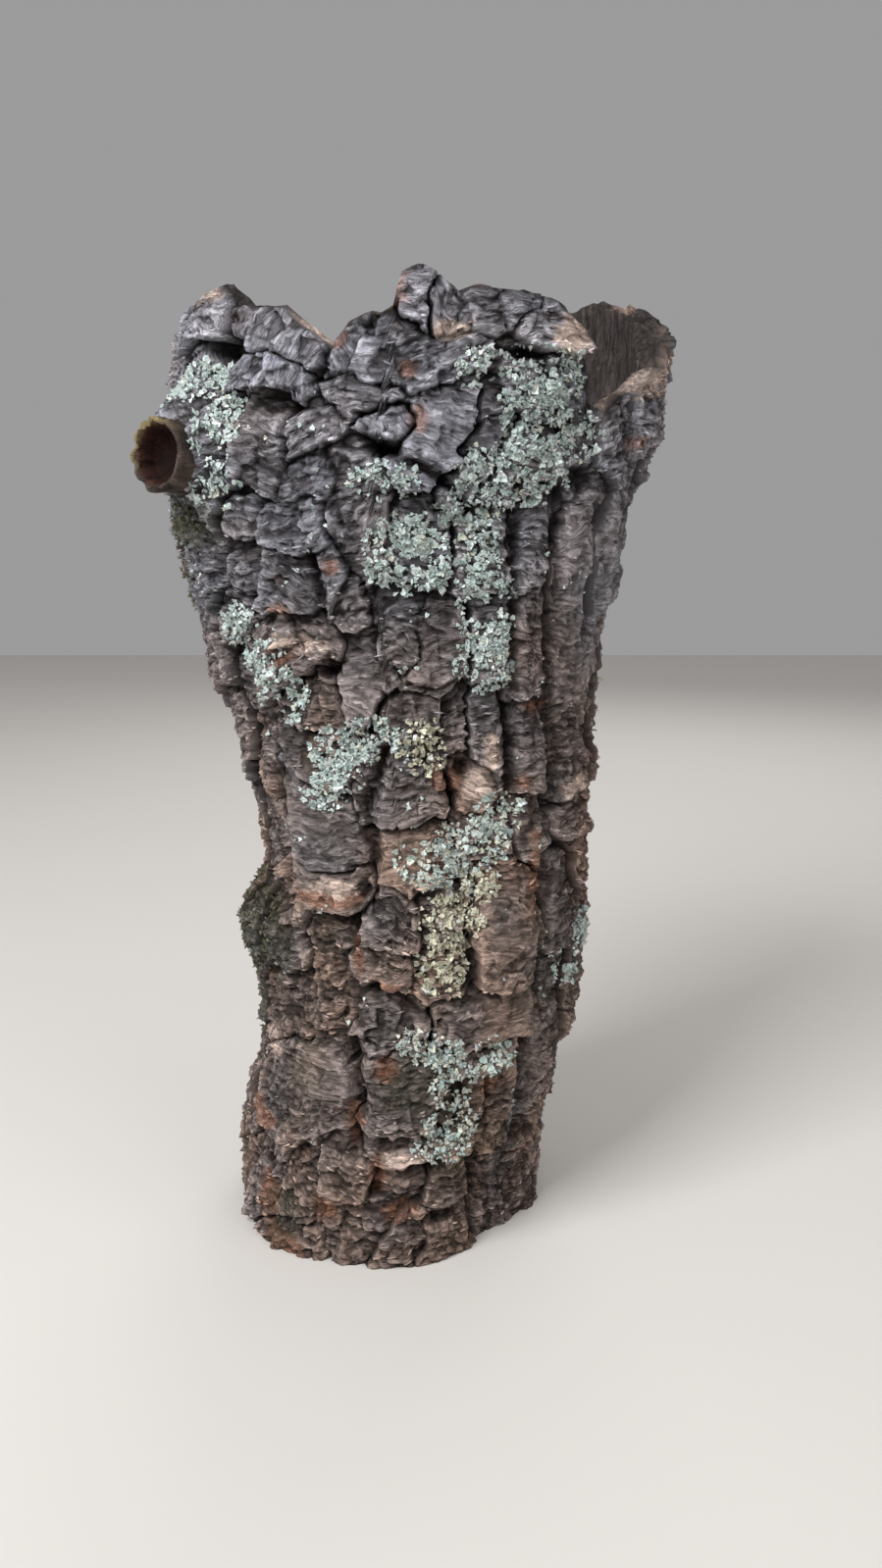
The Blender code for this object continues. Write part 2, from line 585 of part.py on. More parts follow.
def lichen_mesh(name, faces, points, outward):
    """A thin pad over a patch of lattice triangles, clear of the bark and thin at its border."""
    border = {a for a, _ in open_edges(faces)}
    used = sorted({v for face in faces for v in face})
    renumber = {v: k for k, v in enumerate(used)}
    thickness = np.array([LICHEN_THICKNESS * (LICHEN_EDGE if v in border else 1) for v in used])
    thickness = thickness * (1 + 0.35 * noise(points[used], 9, 61))
    below = points[used] + outward[used] * 1.2 * GAP
    above = below + outward[used] * thickness[:, None]
    count = len(used)
    local = np.array([[renumber[v] for v in face] for face in faces])
    corners = [face + count for face in local] + [face[::-1] for face in local]
    for a, b in open_edges(local):
        corners += [(a, b, b + count), (a, b + count, a + count)]
    mesh = bpy.data.meshes.new(name)
    triangles = [tuple(int(v) for v in face) for face in corners]
    mesh.from_pydata((np.concatenate([below, above]) * MM).tolist(), [], triangles)
    return mesh


def make_lichens(trunk, pale, yellow):
    """Every lichen patch, as a pad that rests on the highest bark beneath it."""
    rise = covering_heights(bark_heights(trunk))
    rows, columns = rise.shape
    angle = np.arange(columns) * 2 * math.pi / columns - math.pi
    spread, height = np.broadcast_arrays(angle[None], np.arange(rows)[:, None] * LICHEN_CELL)
    points, outward = smooth_surface(spread, height)
    ragged = 1.1 + 0.3 * noise(points, 14, 62)
    points = points + outward * rise[..., None]
    index = np.arange(rows * columns).reshape(rows, columns)
    right = np.roll(index, -1, axis=1)
    corners = np.stack([index[:-1], right[:-1], right[1:], index[1:]], -1).reshape(-1, 4)
    _, half_x, _, half_y = section_at(height)
    around = (half_x + half_y) / 2
    points, outward = points.reshape(-1, 3), outward.reshape(-1, 3)
    along, _, _ = stub_frame()
    from_axis = points - np.array(STUB_LIP)
    from_axis = from_axis - np.outer(from_axis @ along, along)
    near_stub = np.linalg.norm(from_axis, axis=1) < STUB_ROOT_RADIUS + 4
    blocked = np.isnan(points[:, 0]) | near_stub
    for name, blobs in [*LICHENS.items(), *LICHENS_BY_ANGLE.items()]:
        inside = np.zeros(spread.shape, bool)
        for x, z, wide, tall in blobs:
            at = angle_at(x, height) if name in LICHENS else math.radians(x)
            across = turn_between(spread, at) * around
            inside |= (across / wide) ** 2 + ((height - z) / tall) ** 2 < ragged**2
        inside = inside.ravel() & ~blocked
        full = corners[inside[corners].all(axis=1)]
        groups = [full[:, [0, 1, 2]], full[:, [0, 2, 3]]]
        for missing in range(4):
            others = [k for k in range(4) if k != missing]
            trio = inside[corners[:, others]].all(axis=1) & ~inside[corners[:, missing]]
            groups.append(corners[trio][:, others])
        patch = clean_patch(np.concatenate(groups))
        blocked[np.unique(patch)] = True
        finish = yellow if name in ("lichen_yellow_strip", "lichen_pale_spot") else pale
        add_object(name, lichen_mesh(name, patch, points, outward), finish)


def stand_on_origin():
    """Moves every mesh so that the middle of the branch's outline stands on the origin."""
    for item in bpy.data.objects:
        item.data.transform(Matrix.Translation((-MIDDLE[0] * MM, -MIDDLE[1] * MM, 0)))


def main():
    clear_scene()
    bark = make_material("weathered_bark", BARK_COLOUR, 0.95)
    knot = make_material("dark_knot", STUB_COLOUR, 0.9)
    pale = make_material("grey_green_lichen", LICHEN_COLOUR, 0.95)
    yellow = make_material("yellow_lichen", YELLOW_LICHEN_COLOUR, 0.95)
    trunk = make_trunk(bark)
    cut(trunk, add_object("stub_socket", stub_mesh("stub_socket", GAP, hollow=False)))
    add_object("branch_stub", stub_mesh("branch_stub", 0, hollow=True), knot)
    make_lichens(trunk, pale, yellow)
    stand_on_origin()


main()
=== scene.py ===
# %% [markdown]
# # A cork branch, cell by cell
#
# This notebook dresses a simple solid model of a cork branch with everything that the eye sees:
# furrowed plates, torn cork, a dark knot hole, and leafy lichen. Lengths in the tables are in
# millimetres, because that is how one measures bark, and they become metres at the very end.

# %% Load the frame
import math

import bmesh
import bpy
import numpy as np
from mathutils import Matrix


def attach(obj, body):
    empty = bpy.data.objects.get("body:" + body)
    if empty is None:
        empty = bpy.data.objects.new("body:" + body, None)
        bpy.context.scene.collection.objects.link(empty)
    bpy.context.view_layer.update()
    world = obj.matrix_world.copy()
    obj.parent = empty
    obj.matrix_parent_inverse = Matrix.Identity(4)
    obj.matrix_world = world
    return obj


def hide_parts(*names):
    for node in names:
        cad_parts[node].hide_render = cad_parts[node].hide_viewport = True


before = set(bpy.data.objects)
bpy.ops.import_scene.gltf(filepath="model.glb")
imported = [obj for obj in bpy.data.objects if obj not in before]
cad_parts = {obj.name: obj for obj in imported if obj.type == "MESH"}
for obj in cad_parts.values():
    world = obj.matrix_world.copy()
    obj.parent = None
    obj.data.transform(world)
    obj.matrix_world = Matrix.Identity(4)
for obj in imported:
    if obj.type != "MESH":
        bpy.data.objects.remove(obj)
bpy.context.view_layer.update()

MM = 0.001
print("solid parts:", ", ".join(sorted(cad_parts)))

# %% [markdown]
# ## The camera
#
# The camera comes first, because it decides how much detail each side needs. It could be placed by
# eye, but two facts fix it: the branch narrows towards its foot more than the bark does, so the
# camera looks down by twelve degrees, and the size of that change gives its distance.

# %% Place the camera
MIDDLE = (15.75, 3.76)  # middle of the branch's outline, which the solid model has at its origin
FOCAL_PIXELS, FRAME_HEIGHT = 1208.0, 1599.0
SENSOR = 36.0
EYE = (29, -620, 368)
LOOKS_DOWN = 12

camera = bpy.data.objects.new("camera", bpy.data.cameras.new("camera"))
bpy.context.scene.collection.objects.link(camera)
camera.data.sensor_width = SENSOR
camera.data.lens = FOCAL_PIXELS / FRAME_HEIGHT * SENSOR
camera.location = ((EYE[0] - MIDDLE[0]) * MM, (EYE[1] - MIDDLE[1]) * MM, EYE[2] * MM)
camera.rotation_euler = (math.radians(90 - LOOKS_DOWN), 0, 0)
bpy.context.scene.camera = camera
print(f"lens {camera.data.lens:.1f} mm at {tuple(round(v, 3) for v in camera.location)}")

# %% [markdown]
# ## Noise and steps
#
# Bark looks random but is not: each lump has a size. Value noise gives lumps of one chosen size,
# by putting a fixed random number on every point of a lattice and blending between them. The same
# numbers come out every time, so the branch is the same branch in every render.


# %% Noise helpers
def smoothstep(low, high, value):
    """0 below low, 1 above high, and 3 t squared minus 2 t cubed between them."""
    share = np.clip((value - low) / (high - low), 0, 1)
    return share * share * (3 - 2 * share)


def unit(vectors, guard=0.0):
    """Vectors of length 1. A small guard keeps a vector without length from dividing by zero."""
    return vectors / (np.linalg.norm(vectors, axis=-1, keepdims=True) + guard)


def lattice_value(x, y, z, seed):
    """A fixed pseudo-random number from 0 to 1 for each whole-number point of a 3D lattice."""
    mixed = (x * 73856093) ^ (y * 19349663) ^ (z * 83492791) ^ (seed * 2654435761)
    mixed &= 0xFFFFFFFF
    mixed = ((mixed ^ (mixed >> 15)) * 2246822519) & 0xFFFFFFFF
    mixed = ((mixed ^ (mixed >> 13)) * 3266489917) & 0xFFFFFFFF
    return ((mixed ^ (mixed >> 16)) & 0xFFFFFF) / 0xFFFFFF


def noise(points, size, seed):
    """Smooth noise from -1 to 1 in space, whose lumps are about size across."""
    scaled = points / size
    cell = np.floor(scaled).astype(np.int64)
    share = scaled - cell
    share = share * share * (3 - 2 * share)
    total = 0
    for corner in range(8):
        step = np.array([corner & 1, corner >> 1 & 1, corner >> 2 & 1])
        weight = np.prod(np.where(step, share, 1 - share), axis=-1)
        at = cell + step
        total = total + weight * lattice_value(at[..., 0], at[..., 1], at[..., 2], seed)
    return 2 * total - 1


MEAN_RADIUS = 88
LATTICE_START, LATTICE_LENGTH = -100, 700  # heights, well past both ends of the branch


def wrapped_lattice(angle, height, wide, tall):
    """Lattice place of each point on the unrolled bark, whose columns join up round the branch."""
    columns = max(4, round(2 * math.pi * MEAN_RADIUS / wide))
    x = (angle / (2 * math.pi)) % 1.0 * columns
    y = (height - LATTICE_START) / tall
    return x, y, columns, int(LATTICE_LENGTH / tall) + 4


def skin_noise(angle, height, wide, tall, seed):
    """Smooth noise from -1 to 1 on the unrolled bark, with lumps wide across and tall up."""
    x, y, columns, rows = wrapped_lattice(angle, height, wide, tall)
    table = np.random.default_rng(seed).uniform(-1, 1, (columns, rows))
    i, j = np.floor(x).astype(int), np.floor(y).astype(int)
    u, v = x - i, y - j
    u, v = u * u * (3 - 2 * u), v * v * (3 - 2 * v)
    i0, i1 = i % columns, (i + 1) % columns
    low = table[i0, j] * (1 - u) + table[i1, j] * u
    high = table[i0, j + 1] * (1 - u) + table[i1, j + 1] * u
    return low * (1 - v) + high * v


def skin_cells(angle, height, wide, tall, seed):
    """Random cells on the unrolled bark.

    Gives the distance to the nearest cell centre, how much farther the second one is, a random
    number for the nearest cell, and how far across and up from its centre each point is.
    """
    x, y, columns, rows = wrapped_lattice(angle, height, wide, tall)
    rng = np.random.default_rng(seed)
    jitter, value = rng.uniform(0.1, 0.9, (columns, rows, 2)), rng.uniform(0, 1, (columns, rows))
    i, j = np.floor(x).astype(int), np.floor(y).astype(int)
    first = np.full(x.shape, 9.0)
    second = np.full(x.shape, 9.0)
    own, across, up = np.zeros(x.shape), np.zeros(x.shape), np.zeros(x.shape)
    for di in (-1, 0, 1):
        for dj in (-1, 0, 1):
            ci, cj = (i + di) % columns, np.clip(j + dj, 0, rows - 1)
            dx = x - (i + di) - jitter[ci, cj, 0]
            dy = y - (j + dj) - jitter[ci, cj, 1]
            away = np.hypot(dx, dy)
            closer = away < first
            second = np.where(closer, first, np.minimum(second, away))
            first = np.where(closer, away, first)
            own = np.where(closer, value[ci, cj], own)
            across, up = np.where(closer, dx, across), np.where(closer, dy, up)
    return first, second - first, own, across, up


print("lattice value at 1, 2, 3:", round(lattice_value(1, 2, 3, 4), 4))

# %% [markdown]
# ## The form under the bark
#
# A real branch flares where it once forked. Here its level cross-sections are ellipses, and a
# table gives each one's middle and half size. A short smoothing of the table takes its corners
# off. Everything else is measured outwards from this surface.

# %% Smooth outer form
# Height, middle of the width, half width, middle of the depth, half depth
SECTIONS = np.array([
    (-10, 1, 77, 7, 78), (20, 2, 78, 7, 79), (54, 5, 79, 6, 78), (90, 12, 78, 4, 75),
    (125, 19, 82, 2, 73), (165, 21, 83, 1, 72), (203, 21, 82, 0, 71), (236, 17, 84, 0, 71),
    (268, 14, 88, 0, 72), (299, 13, 94, 2, 74), (330, 11, 100, 4, 77), (359, 9, 107, 5, 80),
    (389, 9, 113, 6, 82), (420, 15, 119, 7, 84), (450, 20, 119, 8, 85), (490, 24, 116, 8, 86),
], float)
WALL, WALL_AT_RIM = 17.0, 12.5


def section_at(height):
    """Middle and half size of the cross-section at each height, as four arrays.

    The table is read every 4 mm and smoothed over 36 mm with a bell.
    """
    fine = np.arange(-20.0, 520.0, 4.0)
    kernel = np.hanning(11)[1:-1]
    kernel /= kernel.sum()
    found = []
    for column in range(1, 5):
        values = np.interp(fine, SECTIONS[:, 0], SECTIONS[:, column])
        padded = np.pad(values, len(kernel) // 2, mode="edge")
        found.append(np.interp(height, fine, np.convolve(padded, kernel, mode="valid")))
    return found


def smooth_surface(angle, height):
    """Points (cx + a sin t, cy - b cos t, z) of the smooth form, and its level outward normal."""
    mid_x, half_x, mid_y, half_y = section_at(height)
    points = np.stack([mid_x + half_x * np.sin(angle), mid_y - half_y * np.cos(angle), height], -1)
    outward = np.stack([half_y * np.sin(angle), -half_x * np.cos(angle), 0 * angle], -1)
    return points, unit(outward)


def angle_at(across, height):
    """Angle of a place on the front, the arc sine of its share of the half width."""
    mid_x, half_x, _, _ = section_at(height)
    return np.arcsin(np.clip((across - mid_x) / half_x, -0.999, 0.999))


def turn_between(angle, other):
    """Angle from other to angle, the short way round."""
    return (angle - other + math.pi) % (2 * math.pi) - math.pi


print("half width at the waist:", section_at(np.array([200.0]))[1].round(1))

# %% [markdown]
# ## The broken rim
#
# The top of a cork tube is never sawn: it tears. The rim is one more table, height against angle,
# and two sizes of noise chip its edge.

# %% Rim
# Angle in degrees, height
RIM = np.array([
    (-180, 468), (-150, 462), (-120, 456), (-95, 452), (-76, 464), (-62, 473), (-52, 477),
    (-42, 468), (-31, 464), (-27, 458), (-23.5, 454), (-18.5, 447), (-15.5, 456), (-8, 460),
    (-6.3, 463), (-4.8, 477), (-1, 480), (3, 476), (7, 468), (13, 469), (20, 471), (27, 467),
    (31, 461), (36, 456), (38.5, 444), (41, 427), (47, 421), (52, 429), (62, 437), (76, 447),
    (86, 461), (98, 473), (112, 482), (130, 487), (150, 482), (180, 468),
], float)


def rim_height(angle):
    """Height of the torn upper edge: the table at each angle, plus chips 9 and 4 mm long."""
    degrees = np.degrees(angle)
    edge = np.interp((degrees + 180) % 360 - 180, RIM[:, 0], RIM[:, 1])
    ring = np.stack([100 * np.sin(angle), 100 * np.cos(angle), 0 * angle], -1)
    return edge + 1.6 * noise(ring, 9, 31) + 0.9 * noise(ring, 4, 32)


# %% [markdown]
# ## Plates of bark
#
# As a cork oak thickens, its bark splits into plates with furrows between them. A sculptor would
# carve the furrows. It is easier to place the plates and let the furrows appear: each point of the
# bark belongs to the plate that is nearest, measured in that plate's own half width and half
# length, and a furrow runs wherever two plates are equally near.

# %% Plates of the front, and a lattice of plates for the sides and back
# Across, up, half width, half length, lean in degrees, rise
PLATES = [
    (-76, 470, 13, 11, 0, 5), (-42, 452, 14, 27, -52, 4), (-44, 436, 7, 19, -68, 7),
    (-32, 413, 15, 10, -14, 3), (-53, 409, 9, 18, 8, 4), (-69, 398, 8, 22, -6, 5),
    (-30, 392, 12, 9, 0, 3), (-84, 434, 11, 15, 38, 2), (-98, 448, 8, 12, 0, 3),
    (-9, 451, 9, 18, 30, 3), (5, 444, 10, 13, 10, 4), (-6, 428, 14, 9, 0, 4),
    (3, 468, 6, 8, 0, 3), (17, 473, 9, 15, 0, 8), (31, 466, 11, 7, 60, 5),
    (45, 461, 11, 9, 0, 6), (60, 463, 10, 9, 0, 7), (80, 454, 14, 12, -10, 10),
    (28, 441, 14, 9, -20, 6), (28, 413, 11, 18, 25, 8), (5, 417, 11, 7, 40, 5),
    (45, 403, 6, 20, 15, 3), (51, 424, 6, 12, 0, 3), (63, 430, 15, 15, 0, 4),
    (84, 432, 12, 13, 0, 4), (64, 398, 17, 12, 0, 5), (88, 400, 9, 14, 0, 3),
    (104, 408, 9, 16, -25, 6), (122, 420, 12, 11, 0, 8), (118, 394, 10, 15, 0, 4),
    (-38, 372, 13, 10, -15, 6), (-60, 378, 9, 10, 20, 3), (-78, 354, 10, 16, 0, 4),
    (-58, 352, 9, 12, 0, 3), (-41, 345, 13, 13, 25, 6), (-22, 351, 6, 14, -8, 6),
    (-12, 341, 6, 10, 0, 4), (-7, 378, 9, 28, -15, 3), (-66, 329, 12, 9, 0, 4),
    (-48, 318, 15, 6, -38, 6), (-30, 326, 10, 10, 0, 3), (-45, 302, 10, 7, -25, 7),
    (-63, 293, 9, 16, 0, -3), (-8, 303, 12, 18, 0, 3), (-27, 286, 13, 13, 0, 3),
    (10, 327, 8, 16, 0, 2), (26, 317, 12, 17, 0, 4), (20, 360, 14, 14, 0, 3),
    (45, 360, 13, 18, 10, 4), (15, 285, 13, 14, 0, 3), (33, 283, 8, 16, -6, 1),
    (50, 318, 9, 18, 0, 5), (51, 280, 8, 17, 0, 4), (71, 372, 9, 26, 4, 4),
    (70, 318, 9, 26, 0, 5), (69, 268, 8, 22, 0, 4), (91, 368, 9, 28, 5, 5),
    (91, 312, 10, 26, 2, 4), (88, 262, 8, 20, 0, 4), (-31, 262, 14, 13, 0, 4),
    (-30, 230, 15, 24, -6, 6), (-24, 200, 17, 10, 0, 10), (14, 249, 17, 24, 0, 5),
    (17, 218, 18, 15, 0, 4), (-60, 232, 9, 26, 0, -2), (-58, 262, 9, 12, 0, 3),
    (42, 252, 9, 16, 12, 1), (46, 226, 13, 11, 0, 4), (72, 226, 9, 14, 0, 4),
    (90, 226, 9, 11, 0, 7), (-48, 165, 12, 20, 0, 2), (-24, 178, 14, 9, 0, -4),
    (5, 184, 12, 13, 20, 7), (28, 188, 10, 16, 0, 2), (62, 180, 16, 30, -3, 8),
    (88, 186, 8, 28, 0, 2), (102, 180, 7, 34, 0, 4), (3, 158, 15, 8, -8, 8),
    (32, 163, 11, 13, 0, 5), (-47, 130, 14, 16, 0, 3), (-23, 142, 9, 14, 0, 2),
    (3, 132, 14, 9, 0, 5), (56, 134, 21, 12, 0, 8), (84, 140, 9, 20, 0, 2),
    (40, 114, 20, 7, -10, 9), (14, 95, 16, 17, 0, 7), (-36, 92, 20, 19, 0, 8),
    (-66, 92, 10, 18, 0, 3), (39, 88, 12, 12, 0, 3), (61, 84, 9, 30, -3, 1),
    (80, 96, 9, 26, -3, 4), (27, 68, 12, 8, 0, 8), (3, 64, 13, 8, 0, 6),
    (12, 48, 14, 9, 0, -3), (-19, 51, 9, 13, 20, 7), (-39, 37, 10, 16, 30, 5),
    (-60, 33, 10, 16, 0, 4), (-44, 8, 14, 9, -20, 7), (-15, 14, 12, 12, 0, 5),
    (7, 6, 9, 11, 0, 8), (31, 11, 13, 12, 0, 9), (36, 38, 11, 13, 0, 4),
    (57, 27, 9, 17, 0, 5), (73, 44, 9, 18, 0, 4), (-70, 62, 9, 14, 0, 2),
]
SIDE_START, SIDE_END, SIDE_STEP = 74.0, 286.0, 17.0  # degrees round the branch
SIDE_RISE_STEP = 62.0
PLATE_REACH = 3.2  # how far a plate can count, in its own half sizes
LEVEL_FURROW, UPRIGHT_FURROW_EXTRA = 1.5, 4.5  # depths


def all_plates():
    """Every plate as a row of angle, height, half width, half length, lean in radians, rise."""
    rows = [(float(angle_at(x, z)), z, w, l, math.radians(lean), rise)
            for x, z, w, l, lean, rise in PLATES]
    rng = np.random.default_rng(7)
    for column, angle in enumerate(np.arange(SIDE_START, SIDE_END, SIDE_STEP)):
        start = 8 + SIDE_RISE_STEP * 0.5 * (column % 2)
        for height in np.arange(start, 500, SIDE_RISE_STEP):
            shift, lift, wide, long, lean, rise = rng.uniform(-1, 1, 6)
            rows.append((math.radians(angle + 4 * shift), height + 16 * lift,
                         12 + 3 * wide, 36 + 14 * long, math.radians(12 * lean), 4 + 3 * rise))
    return np.array(rows)


def plate_relief(angle, height, around):
    """Rise of the plates, and which plate each point is on, its place on it and the furrows.

    The distance to a plate is the cube root of |side / width| cubed plus |along / length| cubed,
    which makes a box with round corners. The gap between the two smallest distances is zero in
    the middle of a furrow. A random number for each pair of neighbours says how far the furrow
    between them has opened: some are gorges, and others only a step.
    """
    plates = all_plates()
    shape = angle.shape
    nearest, second = np.full(shape, 1e9), np.full(shape, 1e9)
    owner, rival = np.zeros(shape, int), np.zeros(shape, int)
    side_own, along_own = np.zeros(shape), np.zeros(shape)
    lowest, highest = height.min(axis=-1), height.max(axis=-1)
    for index, (at, up, wide, long, lean, _) in enumerate(plates):
        reach = PLATE_REACH * (long + wide)
        rows = np.flatnonzero((lowest < up + reach) & (highest > up - reach))
        if not len(rows):
            continue
        part = slice(rows[0], rows[-1] + 1)
        across = turn_between(angle[part], at) * around[part]
        rise = height[part] - up
        side = across * math.cos(lean) - rise * math.sin(lean)
        along = across * math.sin(lean) + rise * math.cos(lean)
        distance = np.abs(side / wide) ** 3 + np.abs(along / long) ** 3
        closer = distance < nearest[part]
        runner_up = ~closer & (distance < second[part])
        second[part] = np.where(closer, nearest[part], np.where(runner_up, distance, second[part]))
        rival[part] = np.where(closer, owner[part], np.where(runner_up, index, rival[part]))
        for store, value in ((owner, index), (side_own, side), (along_own, along),
                             (nearest, distance)):
            store[part] = np.where(closer, value, store[part])
    nearest, second = np.cbrt(nearest), np.cbrt(second)
    apart = np.abs(turn_between(plates[owner, 0], plates[rival, 0])) * around
    above = np.abs(plates[owner, 1] - plates[rival, 1])
    side_by_side = apart / (apart + above + 1e-6)
    pair = lattice_value(np.minimum(owner, rival), np.maximum(owner, rival), 0 * owner, 71)
    opened = smoothstep(0.25, 0.95, pair)
    furrow = 1 - smoothstep(0.0, 0.05 + (0.07 + 0.22 * side_by_side) * opened, second - nearest)
    furrow = furrow * (0.2 + 0.8 * opened)
    crown = 0.8 * (1 - np.clip(nearest, 0, 1.3) ** 2)
    tilt = 3.2 * (lattice_value(owner, 0 * owner, 0 * owner, 72) - 0.5)
    lap = -2.3 * np.clip(along_own / plates[owner, 3], -1.2, 1.2)
    lap = lap + tilt * np.clip(side_own / plates[owner, 2], -1.2, 1.2)
    top = plates[owner, 5] + crown + lap
    rise = top * (1 - furrow) - (LEVEL_FURROW + UPRIGHT_FURROW_EXTRA * side_by_side) * furrow
    return rise, owner, side_own, along_own, furrow


print(len(all_plates()), "plates,", len(PLATES), "of them placed one by one on the front")

# %% [markdown]
# ## Pits, furrows and swellings
#
# Some hollows are landmarks of this very branch: the hole under the left peak, the long furrow
# down the waist, the mossy lump at the left. They are placed one by one. A pit is a flat-bottomed
# bell, a furrow is a bell across a line through a few points, and a swelling is a wide bell.

# %% Landmarks
# Across, up, half width, half height, depth
PITS = [
    (-69, 450, 8, 6, 13), (-42, 425, 13, 6, 8), (4, 404, 8, 5, 13), (-24, 307, 5, 5, 9),
    (-3, 148, 6, 5, 9), (-22, 184, 13, 5, 8), (88, 214, 9, 4, 8), (56, 118, 10, 3, 6),
    (15, 50, 12, 5, 7), (27, 23, 8, 4, 7), (67, 444, 10, 3, 6), (-62, 282, 10, 14, 4),
    (90, 392, 6, 6, 6), (74, 52, 4, 5, 6), (39, 259, 4, 5, 7), (33, 246, 4, 3, 6),
]
# Points across and up, half width, depth
FURROWS = [
    ([(-4, 410), (14, 399), (30, 391), (44, 376)], 3.0, 8.0),
    ([(3, 268), (-6, 243), (-3, 216), (-8, 190)], 3.5, 7.0),
    ([(-50, 252), (-46, 222), (-39, 190)], 3.5, 6.0),
    ([(-12, 120), (-10, 90), (-14, 62)], 3.5, 6.0),
    ([(62, 390), (61, 335), (60, 290), (61, 245)], 3.0, 5.5),
    ([(80, 390), (80, 330), (79, 285), (80, 236)], 3.0, 6.0),
    ([(79, 212), (78, 170), (74, 120), (71, 60)], 3.5, 6.5),
    ([(44, 212), (43, 180), (42, 152)], 3.0, 5.0),
    ([(101, 380), (101, 320), (98, 262)], 3.0, 6.0),
    ([(14, 301), (24, 298), (38, 302)], 1.6, 5.0),
    ([(-29, 360), (-26, 345), (-22, 333)], 2.4, 6.0),
    ([(-17, 466), (-19, 448), (-23, 436)], 2.4, 6.0),
    ([(46, 60), (48, 30), (46, 4)], 3.0, 6.0),
]
# Angle in degrees, up, half width, half height, rise
SWELLINGS = [
    (-77, 166, 21, 22, 14), (-58, 408, 25, 24, 22), (-50, 4, 24, 26, 8),
    (44, 4, 34, 44, -13), (80, 222, 16, 14, 3), (150, 300, 40, 30, 5), (-150, 120, 34, 34, 5),
]


def distance_to_line(across, height, route):
    """Shortest distance from each place to a line through the route's points."""
    best = np.full(across.shape, 1e9)
    for (x0, z0), (x1, z1) in zip(route, route[1:]):
        dx, dz = x1 - x0, z1 - z0
        share = np.clip(((across - x0) * dx + (height - z0) * dz) / (dx * dx + dz * dz), 0, 1)
        best = np.minimum(best, np.hypot(across - x0 - share * dx, height - z0 - share * dz))
    return best


def block_relief(points, size, seed):
    """Chips of bark: each cell of a jittered lattice in space has its own height, -1 to 1."""
    scaled = points / size
    cell = np.floor(scaled).astype(np.int64)
    best = np.full(points.shape[:-1], 1e9)
    level = np.zeros(points.shape[:-1])
    for index in range(27):
        step = np.array([index % 3 - 1, index // 3 % 3 - 1, index // 9 - 1])
        at = cell + step
        jitter = np.stack([lattice_value(*np.moveaxis(at, -1, 0), seed + k) for k in range(3)], -1)
        distance = np.sum((scaled - at - jitter) ** 2, axis=-1)
        closer = distance < best
        level = np.where(closer, lattice_value(*np.moveaxis(at, -1, 0), seed + 3), level)
        best = np.where(closer, distance, best)
    return 2 * level - 1


print(len(PITS), "pits,", len(FURROWS), "furrows and", len(SWELLINGS), "swellings")

# %% [markdown]
# ## Fine relief
#
# Each plate is itself cracked into blocks, and each block is a stack of yearly layers whose worn
# edges make fine level ledges. Both could be painted as a bump, but a bump has no outline and
# casts no shadow, so everything wider than a millimetre is real here. No bark is equally rough
# all over, so a last table says where it is worn smooth.


# %% Relief of the bark, coarse to fine
def ledges(along, warp, spacing):
    """A saw-tooth across the grain: each layer's worn edge rises slowly and drops at once."""
    phase = (along + warp) / spacing
    share = phase - np.floor(phase)
    return 1 - share**2.2 - 0.5


# Across, up, half width and half height of the places where the bark is worn smooth
CALM = [
    (-42, 450, 20, 17), (-30, 226, 20, 30), (8, 220, 17, 26), (60, 180, 20, 28), (57, 134, 22, 13),
    (-4, 440, 12, 12), (28, 412, 12, 16), (70, 110, 9, 44), (104, 330, 26, 60), (-8, 300, 14, 16),
    (20, 300, 12, 16), (44, 250, 12, 22), (-30, 100, 18, 16),
]
DEEPEST, HIGHEST = -15.0, 28.0  # limits of the coarse relief
WORN_OFF = 0.62  # share of the fine relief that is gone there


def calm_share(across, up):
    """1 where the bark is worn smooth, 0 where it is rough."""
    share = np.zeros(across.shape)
    for x, z, wide, tall in CALM:
        share = np.maximum(share, 1 - smoothstep(0.6, 1.2, np.hypot((across - x) / wide,
                                                                   (up - z) / tall)))
    return share


